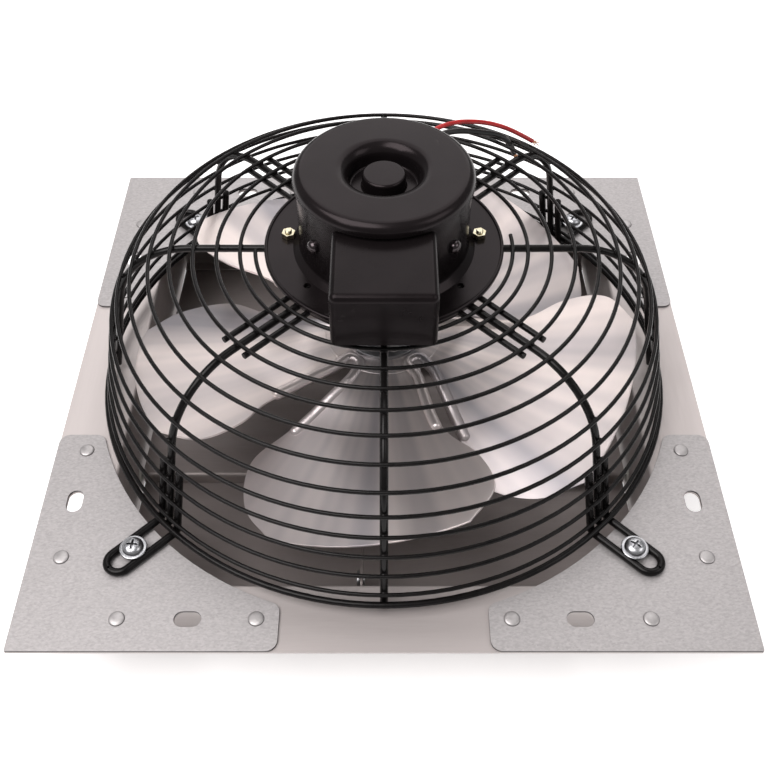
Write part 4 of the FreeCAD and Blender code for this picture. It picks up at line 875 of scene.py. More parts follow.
@dataclass
class Leads:
    """Red lead and sleeved black lead that leave the motor's grommet, with their bare ends."""

    red_route: tuple[Place, ...] = (
        (12.64, 47.19, 178.6), (15.1, 56.2, 179.4), (21.0, 63.8, 185.0), (30.0, 70.5, 189.5),
        (41.5, 79.5, 187.5), (52.0, 87.0, 183.0), (63.0, 94.0, 177.3), (74.0, 100.0, 170.2),
        (85.0, 105.0, 161.7), (95.0, 110.0, 152.5),
    )
    black_route: tuple[Place, ...] = (
        (12.64, 47.19, 175.0), (15.4, 56.4, 174.6), (20.5, 64.8, 177.8), (28.0, 72.3, 181.0),
        (37.0, 78.5, 181.2), (47.6, 84.5, 178.3), (58.5, 90.0, 173.0), (71.5, 97.0, 166.5),
        (79.0, 100.9, 158.5), (83.2, 102.3, 148.8),
    )
    red_diameter: float = 2.8
    black_diameter: float = 3.6
    red_length: float = 118.2
    black_length: float = 105.6
    strand_count: int = 6
    strand_diameter: float = 0.5
    strand_length: float = 5.0
    strand_shares: Place = (0.8, 1.0, 1.2)
    strand_middle: float = 0.5
    strand_bend: float = 6.0
    middle_spread: float = 1.4
    tip_spread: float = 3.2
    grommet: tuple[Point, ...] = ((0, -1.2), (4.6, -1.2), (4.6, 0), (6, 0), (6, 1.1), (5.2, 2), (0, 2))
    grommet_reach: float = 46.85
    grommet_turn: float = 75.0
    grommet_level: float = 176.85

    def build(self) -> None:
        """Make both leads, their strands and the grommet."""
        for name, route, diameter, length, finish in (
                ("red_lead", self.red_route, self.red_diameter, self.red_length, RED_PVC),
                ("black_lead", self.black_route, self.black_diameter, self.black_length, BLACK_PVC)):
            strands = self.strands(name + "_strands", route)
            dress(strands, COPPER, "copper", "frame")
            lead = self.lead(name + "_curve", route, diameter)
            dress(lead, finish, finish.name, "frame", name)
        place = facing_out(self.grommet_reach, self.grommet_turn, self.grommet_level)
        bush = repeated(lathe("motor_lead_bush", self.grommet, steps=40), [place])
        dress(soften(bush, MOULDED_EDGE), RUBBER, "grommet_rubber", "frame", "lead_grommet")

    def lead(self, name: str, route: Sequence[Place], diameter: float) -> Piece:
        """One lead as a smooth curve.

        Args:
            name: Name of the piece.
            route: Control points from the motor outwards.
            diameter: Lead diameter.
        Returns:
            The curve object.
        """
        piece = round_curve(name, diameter, sides=5, steps=8)
        spline = piece.data.splines.new("NURBS")
        spline.points.add(len(route) - 1)
        for point, place in zip(spline.points, route):
            point.co = (*(Vector(place) * MM), 1)
        spline.order_u = 3
        spline.use_endpoint_u = True
        return piece

    def strands(self, name: str, route: Sequence[Place]) -> Piece:
        """Short copper strands that fan out of a lead's bare end.

        Args:
            name: Name of the piece.
            route: The lead's control points.
        Returns:
            The joined strands.
        """
        end = Vector(route[-1])
        ahead = (end - Vector(route[-2])).normalized()
        side = ahead.orthogonal().normalized()
        made = []
        for index in range(self.strand_count):
            turn = Matrix.Rotation(FULL_TURN * index / self.strand_count, 3, ahead)
            out = (turn @ side) * self.strand_diameter
            length = self.strand_length * self.strand_shares[index % len(self.strand_shares)]
            root = end - ahead + out
            middle = end + ahead * self.strand_length * self.strand_middle + out * self.middle_spread
            tip = end + ahead * length + out * self.tip_spread
            made.append(wire(name, [root, middle, tip], self.strand_diameter, [self.strand_bend], fine=4))
        return joined(name, made)


@dataclass
class SquareFrame:
    """Four mitred rails, four corner plates, their rivets and the screws of the guard's feet."""

    half: float = 195.0
    wall_inner: float = 156.0
    wall_outer: float = 157.5
    hem_outer: float = 160.5
    sheet: float = 1.5
    top: float = 57.0
    plate_top: float = 58.5
    plate_gap: float = 0.02
    rail_bends: tuple[float, ...] = (0, 0.6, 0.6, 0, 0, 1.2, 1.8, 0)
    leg_end: float = 55.0
    inner_arc: float = 177.5
    leg_round: float = 6.0
    corner_round: float = 0.8
    line: float = 177.0
    slot_along: float = 103.0
    slot_run: float = 2.75
    slot_radius: float = 4.5
    slot_margin: float = 5.0
    rivets_along: tuple[float, ...] = (67.0, 140.0)
    rivet_tail: tuple[Point, ...] = ((0, -1.3), (2.9, -1.3), (3.36, -0.8), (3.36, 0), (2.4, 0))
    rivet_head: tuple[Point, ...] = (
        (2.4, 0), (4.3, 0), (4.25, 0.45), (3.9, 0.85), (3.1, 1.1), (1.7, 1.25), (0, 1.3))
    screw_reach: float = 193.7
    screw_seat: float = 63.06
    screw_turns: tuple[float, ...] = (12, -25, 40, 8)
    screw: tuple[Point, ...] = (
        (0, -12.06), (1.9, -12.06), (2.5, -11.26), (2.5, 0), (7.5, 0), (7.5, 0.9), (7.1, 1.2), (5.75, 1.2),
        (5.75, 2.2), (5.1, 3.4), (3.6, 4.3), (1.6, 4.6), (0, 4.6))
    recess_half: float = 0.6
    recess_reach: float = 3.1
    recess_levels: Point = (1.8, 8.0)

    def build(self) -> None:
        """Make and dress every piece of the frame."""
        for side, degrees in zip(("front", "right", "back", "left"), QUARTERS):
            rail = self.rail("rail_" + side)
            rail.data.transform(turn_z(degrees))
            # Front and back rails take the painted-shade tones, side rails the painted-light tones
            finish = RAIL_X_PAINTED_SHADE if side in ("front", "back") else RAIL_Y_PAINTED_LIGHT
            dress(rail, finish, "rail_aluminium", "frame", side + "_rail")
        for corner, degrees in zip(("back_right", "back_left", "front_left", "front_right"), QUARTERS):
            plate = self.plate("plate_" + corner)
            plate.data.transform(turn_z(degrees))
            dress(plate, GALVANISED, "galvanised_steel", "frame", corner + "_corner_plate")
        dress(self.rivets(), RIVET, "rivet_aluminium", "frame", "corner_rivets")
        dress(self.screws(), ZINC, "zinc_plate", "frame", "guard_screws")

    def slot_cutter(self, along_y: bool, sign: int, line: float) -> Piece:
        """Round-ended block that cuts one mounting slot.

        Args:
            along_y: Whether the slot runs along Y.
            sign: Side of the frame's middle that it is on.
            line: Place of the slot's line across its run.
        Returns:
            The cutter.
        """
        near, far = self.slot_along - self.slot_run, self.slot_along + self.slot_run
        outline = arc((far, 0), self.slot_radius, -90, 90, steps=10)
        outline += arc((near, 0), self.slot_radius, 90, 270, steps=10)
        if along_y:
            places = [(line + across, sign * along) for along, across in outline]
        else:
            places = [(sign * along, line + across) for along, across in outline]
        return prism("slot_cutter", places, self.top - self.slot_margin, self.plate_top + self.slot_margin)

    def rail(self, name: str) -> Piece:
        """Front rail: folded flange, box wall and hem, with mitred ends and two slots.

        Args:
            name: Name of the piece.
        Returns:
            The rail.
        """
        profile = [
            (-self.half, self.top - self.sheet), (-self.wall_outer, self.top - self.sheet),
            (-self.wall_outer, self.sheet), (-self.hem_outer, self.sheet), (-self.hem_outer, 0),
            (-self.wall_inner, 0), (-self.wall_inner, self.top), (-self.half, self.top)]
        outline = rounded(profile, self.rail_bends, steps=4)
        piece = prism(name, outline, -self.half, self.half, Axis.X)
        for vertex in piece.data.vertices:
            vertex.co.x = math.copysign(vertex.co.y, vertex.co.x)
        carve(piece, *[self.slot_cutter(False, sign, -self.line) for sign in (1, -1)])
        return soften(piece, FOLDED_EDGE)

    def plate(self, name: str) -> Piece:
        """Back right corner plate with its arc-shaped inner edge, rounded leg ends and slots.

        Args:
            name: Name of the piece.
        Returns:
            The plate.
        """
        meet = math.sqrt(self.inner_arc ** 2 - self.leg_end ** 2)
        start = math.degrees(math.atan2(meet, self.leg_end))
        inner = arc((0, 0), self.inner_arc, start, 90 - start, steps=18)
        corners = inner + [(self.half, self.leg_end), (self.half, self.half), (self.leg_end, self.half)]
        soft = self.leg_round
        radii = [soft] + [0] * (len(inner) - 2) + [soft, soft, self.corner_round, soft]
        outline = rounded(corners, radii, steps=5)
        piece = prism(name, outline, self.top + self.plate_gap, self.plate_top)
        carve(piece, self.slot_cutter(False, 1, self.line), self.slot_cutter(True, 1, self.line))
        return soften(piece, SHEARED_EDGE)

    def rivets(self) -> Piece:
        """Sixteen round-headed rivets with clenched tails.

        Returns:
            The joined rivets.
        """
        profile = raised(self.rivet_tail, self.top - self.sheet) + raised(self.rivet_head, self.plate_top)
        moves = [
            turn_z(degrees) @ shift((sign * along, -self.line, 0))
            for degrees in QUARTERS for along in self.rivets_along for sign in (1, -1)]
        return repeated(lathe("frame_rivets", profile, steps=28), moves)

    def screws(self) -> Piece:
        """Four flanged pan head screws with a cross recess.

        Returns:
            The joined screws.
        """
        screw = lathe("foot_screws", raised(self.screw, self.screw_seat), steps=40)
        half, reach = self.recess_half, self.recess_reach
        low, high = (self.screw_seat + level for level in self.recess_levels)
        blade = [(-half, -reach), (half, -reach), (half, reach), (-half, reach)]
        cross = [(up, across) for across, up in reversed(blade)]
        carve(screw, prism("recess", blade, low, high), prism("recess", cross, low, high))
        soften(screw, RECESS_EDGE)
        return repeated(screw, [
            around(self.screw_reach, degrees) @ turn_z(turn)
            for degrees, turn in zip(DIAGONALS, self.screw_turns)])


@dataclass
class WireGuard:
    """Welded wire guard: rings, spokes, legs, feet, the motor's support wires and the weld beads."""

    flat_end: float = 110.4
    slope: float = 0.225
    ring_level: float = 162.0
    shoulder: float = 49.7
    first_ring: float = 80.5
    top_pitch: float = 13.1
    side_pitch: float = 13.9
    top_rings: int = 5
    side_rings: int = 7
    end_arc: float = 72.0
    end_arc_angles: Point = (184.0, 366.0)
    end_arc_steps: int = 48
    ring_wire: float = 2.3
    rod_wire: float = 4.3
    base_wire: float = 3.6
    foot_wire: float = 4.5
    stub_wire: float = 3.4
    gap: float = 0.03
    base_level: float = 65.13
    rod_end: float = 62.13
    rod_inner: float = 50.0
    stub_outer: float = 109.0
    stub_offset: float = 8.0
    foot_half: float = 6.75
    foot_loop: float = 203.5
    foot_level: float = 60.78
    foot_top: float = 105.5
    foot_bend: float = 4.0
    bead: Place = (1.5, 2.1, 1.3)

    @property
    def slope_length(self) -> float:
        """Length of the side for each millimetre of height."""
        return math.hypot(1, self.slope)

    @property
    def rod_inset(self) -> float:
        """Rod centre line inside the rings' centre line."""
        return self.ring_wire / 2 + self.gap + self.rod_wire / 2

    def side_radius(self, level: float, inset: float) -> float:
        """Radius of the leaning side.

        Args:
            level: Height on the side.
            inset: Distance inside the rings' centre line.
        Returns:
            The radius.
        """
        end = self.flat_end + self.shoulder / self.slope_length
        end_level = self.ring_level - self.shoulder + self.shoulder * self.slope / self.slope_length
        return end + self.slope * (end_level - level) - inset * self.slope_length

    def ring_place(self, run: float) -> Place:
        """Place on the rings' centre line, over the top and down the side.

        Args:
            run: Distance from the axis along the guard's profile.
        Returns:
            Radius, height and the profile's turn from flat in radians.
        """
        past = max(0.0, run - self.flat_end)
        last = math.atan(1 / self.slope)
        turn = past / self.shoulder
        if run < self.flat_end:
            return run, self.ring_level, 0.0
        centre = self.ring_level - self.shoulder
        if turn < last:
            radius = self.flat_end + self.shoulder * math.sin(turn)
            return radius, centre + self.shoulder * math.cos(turn), turn
        level = centre + self.shoulder * math.cos(last) - (past - self.shoulder * last) / self.slope_length
        return self.side_radius(level, 0), level, last

    def ring(self, name: str, radius: float, level: float, diameter: float) -> Piece:
        """Closed ring of round wire."""
        return lathe(name, arc((radius, level), diameter / 2, 0, 330, steps=11), steps=120)

    def build(self) -> None:
        """Make and dress every wire."""
        top_runs = [self.first_ring + step * self.top_pitch for step in range(self.top_rings)]
        side_runs = [top_runs[-1] + (step + 1) * self.side_pitch for step in range(self.side_rings)]
        top = [self.ring("top", *self.ring_place(run)[:2], self.ring_wire) for run in top_runs]
        top.append(self.partial_arc())
        side = [self.ring("side", *self.ring_place(run)[:2], self.ring_wire) for run in side_runs]
        made = {
            "guard_top_rings": joined("wire_top_rings", top),
            "guard_side_rings": joined("wire_side_rings", side),
            "guard_base_ring": self.base_ring(),
            "guard_spokes": repeated(self.rod("wire_spokes"), [turn_z(degrees) for degrees in QUARTERS]),
            "guard_legs": repeated(self.rod("wire_legs"), [turn_z(degrees) for degrees in DIAGONALS]),
            "guard_feet": repeated(self.foot(), [turn_z(degrees) for degrees in DIAGONALS]),
            "motor_support_wires": repeated(self.stub(), [
                turn_z(degrees) @ shift((0, side_step, 0))
                for degrees in DIAGONALS for side_step in (self.stub_offset, -self.stub_offset)]),
        }
        for node, piece in made.items():
            dress(piece, WIRE, "black_wire", "frame", node)
        dress(self.beads(top_runs + side_runs), WIRE, "black_wire", "frame")

    def base_ring(self) -> Piece:
        """Thicker ring outside the rods' lower ends.

        Returns:
            The ring.
        """
        inset = self.rod_inset - self.rod_wire / 2 - self.gap - self.base_wire / 2
        radius = self.side_radius(self.base_level, inset)
        return self.ring("wire_base_ring", radius, self.base_level, self.base_wire)

    def partial_arc(self) -> Piece:
        """Short innermost arc on the terminal box's side.

        Returns:
            The bent wire.
        """
        line = arc((0, 0), self.end_arc, *self.end_arc_angles, steps=self.end_arc_steps)
        places = [(across, along, self.ring_level) for across, along in line]
        bends = [self.end_arc / 2] * (self.end_arc_steps - 1)
        return wire("inner_arc", places, self.ring_wire, bends, fine=2)

    def rod(self, name: str) -> Piece:
        """Radial rod at angle zero, flat under the top rings and bent down the side.

        Args:
            name: Name of the piece.
        Returns:
            The bent wire.
        """
        level = self.ring_level - self.rod_inset
        corners = [
            (self.rod_inner, 0, level), (self.side_radius(level, self.rod_inset), 0, level),
            (self.side_radius(self.rod_end, self.rod_inset), 0, self.rod_end)]
        return wire(name, corners, self.rod_wire, [self.shoulder - self.rod_inset], fine=16)

    def foot(self) -> Piece:
        """Foot at angle zero: down inside the rings, out over the plate, round the loop and back.

        Returns:
            The bent wire.
        """
        inset = self.ring_wire / 2 + self.gap + self.foot_wire / 2
        half = self.foot_half

        def upright(level: float, side: float) -> Place:
            """Place on the foot's upright."""
            return math.sqrt(self.side_radius(level, inset) ** 2 - half ** 2), side, level

        tip = self.foot_loop + half
        corners = [
            upright(self.foot_top, half), upright(self.foot_level, half), (tip, half, self.foot_level),
            (tip, -half, self.foot_level), upright(self.foot_level, -half), upright(self.foot_top, -half)]
        return wire("wire_feet", corners, self.foot_wire, [self.foot_bend, half, half, self.foot_bend])

    def stub(self) -> Piece:
        """Straight wire beside a leg, under the top rings and the motor plate.

        Returns:
            The wire.
        """
        level = self.ring_level - self.ring_wire / 2 - self.gap - self.stub_wire / 2
        ends = [(self.rod_inner, 0, level), (self.stub_outer, 0, level)]
        return wire("wire_supports", ends, self.stub_wire)

    def beads(self, runs: Sequence[float]) -> Piece:
        """Small weld beads where the rings cross the rods.

        Args:
            runs: Place of each ring along the guard's profile.
        Returns:
            The joined beads.
        """
        pick()
        bpy.ops.mesh.primitive_uv_sphere_add(segments=10, ring_count=6, radius=MM)
        bead = taken("wire_weld_beads")
        with editing(bead):
            bpy.ops.transform.resize(value=self.bead)
        moves = []
        inward = self.ring_wire / 2
        for run in runs:
            radius, level, lean = self.ring_place(run)
            place = shift((radius - inward * math.sin(lean), 0, level - inward * math.cos(lean)))
            local = place @ Matrix.Rotation(lean, 4, "Y")
            moves.extend(turn_z(degrees) @ local for degrees in QUARTERS + DIAGONALS)
        return repeated(bead, moves)


@dataclass
class Motor:
    """Mounting plate, clamp ring, bolts, drawn shell, rear cap and terminal box."""

    base: float = 162.85
    plate_radius: float = 67.0
    plate_sheet: float = 2.0
    rim_rise: float = 1.2
    rim_width: float = 2.0
    rim_bend: float = 1.2
    cup_inner: float = 9.53
    cup_outer: float = 11.53
    cup_depth: float = 6.0
    shaft_hole: float = 5.0
    bolt_circle: float = 54.0
    bolt_angles: tuple[int, ...] = (6, 96, 174)
    spare_holes: tuple[int, ...] = (220, 320)
    hole: float = 2.05
    cut_margin: float = 1.0
    clamp_top: float = 156.49
    clamp_sheet: float = 2.0
    clamp_radii: Point = (49.0, 63.0)
    clamp_round: float = 0.5
    shell_radius: float = 46.8
    shell_foot: float = 50.2
    shell_lap: float = 1.8
    foot_rise: float = 5.0
    foot_bend: float = 3.0
    foot_lip: float = 0.6
    sheet: float = 1.2
    cap_base: float = 207.0
    cap_top: float = 214.5
    cap_radius: float = 48.3
    cap_round: float = 5.5
    cap_edge: float = 0.3
    lip: float = 19.0
    lip_round: float = 7.0
    recess_floor: float = 202.5
    recess_round: float = 1.5
    boss: float = 11.6
    boss_top: float = 211.0
    boss_round: float = 1.6
    boss_foot: float = 1.0
    boss_wall: float = 2.0
    nut_across: float = 7.0
    nut_height: float = 3.2
    nut_turns: tuple[float, ...] = (10, 0, 24)
    bolt_radius: float = 2.0
    bolt_end: float = 4.7
    bolt_tip: float = 1.6
    head_lap: float = 0.5
    thread_pitch: float = 0.7
    thread_root: float = 1.7
    thread_turns: int = 2
    thread_start: float = 0.1
    screw_level: float = 185.55
    screw_turn: float = 51.5
    screw_shank: tuple[Point, ...] = ((0, -1.2), (1.5, -1.2), (1.5, 0.02), (3.9, 0.02))
    screw_dome: float = 3.3
    screw_dome_centre: Point = (0.6, 0.2)
    screw_top: float = 3.5
    box_half: float = 26.65
    box_front: float = 88.0
    box_back: float = 20.0
    box_low: float = 173.0
    box_high: float = 205.35
    box_round: float = 3.8
    seat_gap: float = 0.05
    seat_margin: float = 2.0
    tray_depth: float = 8.0
    tray_share: float = 0.95
    tray_wall: float = 2.0
    room_margin: float = 10.0

    def build(self) -> None:
        """Make and dress every outer piece of the motor."""
        for piece, finish, node in (
                (self.plate(), PAINT, "motor_mount_plate"), (self.clamp(), PAINT, "motor_clamp_ring"),
                (self.shell(), PAINT, "motor_shell"), (self.cap(), PAINT, "motor_rear_cap"),
                (self.box(), BOX_PAINT, "terminal_box"), (self.cover(), BOX_PAINT, "terminal_box_cover"),
                (self.side_screws(), SCREW_PAINT, "shell_screws")):
            dress(piece, finish, "motor_black", "frame", node)
        dress(self.bolts(), YELLOW_ZINC, "yellow_zinc", "frame", "motor_bolts")
        dress(self.nuts(), YELLOW_ZINC, "yellow_zinc", "frame", "motor_nuts")

    def drill(self, piece: Piece, angles: Sequence[int], low: float, high: float) -> Piece:
        """Drill holes on the bolt circle.

        Args:
            piece: The piece.
            angles: Angle of each hole.
            low: Lower end of the holes.
            high: Upper end of the holes.
        Returns:
            The same piece.
        """
        profile = [(0, low), (self.hole, low), (self.hole, high), (0, high)]
        for degrees in angles:
            carve(piece, repeated(lathe("drill", profile, steps=24), [around(self.bolt_circle, degrees)]))
        return piece

    def plate(self) -> Piece:
        """Round mounting plate with a turned-up rim and the front bearing's cup.

        Returns:
            The plate.
        """
        low = self.base - self.plate_sheet
        floor = low - self.cup_depth
        outer, bend = self.plate_radius, self.rim_bend
        half_rim = self.rim_width / 2
        rim = (outer - half_rim, self.base + self.rim_rise - half_rim)
        profile = [
            (self.cup_outer, low), (outer - bend, low),
            *arc((outer - bend, low + bend), bend, -90, 0, steps=3),
            *arc(rim, half_rim, 0, 180, steps=6), (outer - self.rim_width - bend, self.base),
            (self.cup_inner, self.base), (self.cup_inner, floor), (self.shaft_hole, floor),
            (self.shaft_hole, floor - self.plate_sheet), (self.cup_outer, floor - self.plate_sheet)]
        piece = lathe("motor_plate", profile, steps=96)
        angles = self.bolt_angles + self.spare_holes
        return self.drill(piece, angles, low - self.cut_margin, self.base + self.cut_margin)

    def clamp(self) -> Piece:
        """Ring that clamps the support wires against the plate.

        Returns:
            The ring.
        """
        inner, outer = self.clamp_radii
        high = self.clamp_top
        low = high - self.clamp_sheet
        corners = [(inner, low), (outer, low), (outer, high), (inner, high)]
        return lathe("motor_clamp", rounded(corners, [self.clamp_round] * 4, steps=3), steps=80)

    def shell(self) -> Piece:
        """Drawn shell with its flared foot and rolled top edge.

        Returns:
            The shell.
        """
        outer, inner = self.shell_radius, self.shell_radius - self.sheet
        foot, rise = self.shell_foot, self.base + self.foot_rise
        top = self.cap_base + self.shell_lap
        flare = arc((outer + self.foot_bend, rise), self.foot_bend, 240, 180, steps=5)
        profile = [
            (foot - self.sheet, self.base), (foot + self.foot_lip, self.base), *flare, (outer, top),
            (inner, top), (inner, rise)]
        return lathe("motor_can", profile, steps=96)

    def cap(self) -> Piece:
        """Shallow rear cap with a rounded edge, a ring recess and a bearing boss.

        Returns:
            The cap.
        """
        sheet, floor = self.sheet, self.recess_floor
        soft, lip, bend = self.cap_round, self.lip_round, self.recess_round
        rim = (self.cap_radius - soft, self.cap_top - soft)
        roll = (self.lip + lip, self.cap_top - lip)
        boss_rim = (self.boss - self.boss_round, self.boss_top - self.boss_round)
        boss_inner = self.boss - self.boss_wall
        profile = [
            (self.cap_radius - sheet, self.cap_base), (self.cap_radius - self.cap_edge, self.cap_base),
            (self.cap_radius, self.cap_base + self.cap_edge),
            *arc(rim, soft, 0, 90, steps=10),
            *arc(roll, lip, 90, 180, steps=8),
            *arc((self.lip - bend, floor + bend), bend, 0, -90, steps=4),
            *arc((self.boss + self.boss_foot, floor + self.boss_foot), self.boss_foot, 270, 180, steps=4),
            *arc(boss_rim, self.boss_round, 0, 90, steps=6),
            (0, self.boss_top), (0, self.boss_top - sheet), (boss_inner, self.boss_top - sheet),
            (boss_inner, floor - sheet), (self.lip + sheet, floor - sheet),
            *arc(roll, lip - sheet, 180, 90, steps=5),
            *arc(rim, soft - sheet, 90, 0, steps=8)]
        return lathe("motor_end_cap", profile, steps=128)

    def hexagon(self, name: str, low: float) -> Piece:
        """Hexagon of a nut or a bolt head, with chamfered corners.

        Args:
            name: Name of the piece.
            low: Its lower face.
        Returns:
            The hexagon.
        """
        outline = arc((0, 0), self.nut_across / math.sqrt(3), 0, 300, steps=5)
        return soften(prism(name, outline, low, low + self.nut_height), HEXAGON_EDGE)

    def nuts(self) -> Piece:
        """Hexagon nuts on the plate, each at its own turn.

        Returns:
            The joined nuts.
        """
        return repeated(self.hexagon("mount_nuts", self.base), [
            around(self.bolt_circle, degrees) @ turn_z(turn)
            for degrees, turn in zip(self.bolt_angles, self.nut_turns)])

    def bolts(self) -> Piece:
        """Hexagon bolts with a ridged thread that stands out of the nuts.

        Returns:
            The joined bolts.
        """
        low = self.clamp_top - self.clamp_sheet
        high = self.base + self.nut_height
        end = self.base + self.bolt_end
        thread = []
        for step in range(self.thread_turns):
            level = high + step * self.thread_pitch
            thread.extend([(self.thread_root, level), (self.bolt_radius, level + self.thread_pitch / 2)])
        profile = [
            (0, low - self.head_lap), (self.bolt_radius, low - self.head_lap),
            (self.bolt_radius, high - self.thread_start), *thread, (self.bolt_tip, end), (0, end)]
        shank = lathe("shank", profile, steps=24)
        bolt = joined("mount_bolts", [shank, self.hexagon("head", low - self.nut_height)])
        return repeated(bolt, [around(self.bolt_circle, degrees) for degrees in self.bolt_angles])

    def side_screws(self) -> Piece:
        """Painted dome screws on both sides of the terminal box.

        Returns:
            The joined screws.
        """
        dome = arc(self.screw_dome_centre, self.screw_dome, 0, 80, steps=7)
        profile = [*self.screw_shank, *dome, (0, self.screw_top)]
        moves = [
            facing_out(self.shell_radius + self.seat_gap, side * self.screw_turn - 90, self.screw_level)
            for side in SIDES]
        return repeated(lathe("can_screws", profile, steps=28), moves)

    def saddle(self, piece: Piece) -> Piece:
        """Cut the back of a box piece to sit on the shell.

        Args:
            piece: The box piece.
        Returns:
            The same piece.
        """
        radius = self.shell_radius + self.seat_gap
        low, high = self.box_low - self.seat_margin, self.box_high + self.seat_margin
        core = lathe("saddle", [(0, low), (radius, low), (radius, high), (0, high)], steps=96)
        return carve(piece, core)

    def box_outline(self, half: float, front: float, soft: float) -> list[Point]:
        """Plan of the terminal box with rounded front corners.

        Args:
            half: Half of its width.
            front: Distance of its front from the axis.
            soft: Radius of its front corners.
        Returns:
            Points of the plan.
        """
        corners = [(-half, -self.box_back), (-half, -front), (half, -front), (half, -self.box_back)]
        return rounded(corners, [0, soft, soft, 0], steps=5)

    def box(self) -> Piece:
        """Side walls and floor of the terminal box, inside its cover.

        Returns:
            The open tray.
        """
        half, front = self.box_half - self.sheet, self.box_front - self.sheet
        low, high = self.box_low, self.box_low + self.tray_depth
        outline = self.box_outline(half, front, self.box_round - self.sheet)
        tray = prism("connection_box", outline, low, high)
        inner = [(across * self.tray_share, max(along, self.tray_wall - front)) for across, along in outline]
        room = prism("room", inner, low + self.sheet, high + self.cut_margin)
        return soften(self.saddle(carve(tray, room)), TRAY_EDGE)

    def cover(self) -> Piece:
        """Drawn cover of the terminal box: top, front and sides with rounded edges.

        Returns:
            The cover.
        """
        half, front, soft, sheet = self.box_half, self.box_front, self.box_round, self.sheet
        solid = self.block("connection_box_cover", half, front, self.box_low, self.box_high, soft)
        room = self.block("room", half - sheet, front - sheet, self.box_low - self.room_margin,
                          self.box_high - sheet, soft - sheet)
        return soften(self.saddle(carve(solid, room)), DRAWN_EDGE)

    def block(self, name: str, half: float, front: float, low: float, high: float, soft: float) -> Piece:
        """Block at the motor's front with rounded upright corners and a rounded top.

        Args:
            name: Name of the piece.
            half: Half of its width.
            front: Distance of its front from the axis.
            low: Its lower face.
            high: Its upper face.
            soft: Radius of its edges.
        Returns:
            The block.
        """
        piece = prism(name, self.box_outline(half, front, soft), low, high)
        with editing(piece):
            bpy.ops.mesh.select_all(action="DESELECT")
        behind = (self.box_back + self.cut_margin) * MM
        for edge in piece.data.edges:
            ends = [piece.data.vertices[index].co for index in edge.vertices]
            on_top = all(abs(end.z - high * MM) < CLOSE for end in ends)
            edge.select = on_top and min(end.y for end in ends) < -behind
        pick(piece)
        bpy.ops.object.mode_set(mode="EDIT")
        bpy.ops.mesh.bevel(offset=soft * MM, segments=6)
        bpy.ops.object.mode_set(mode="OBJECT")
        return piece


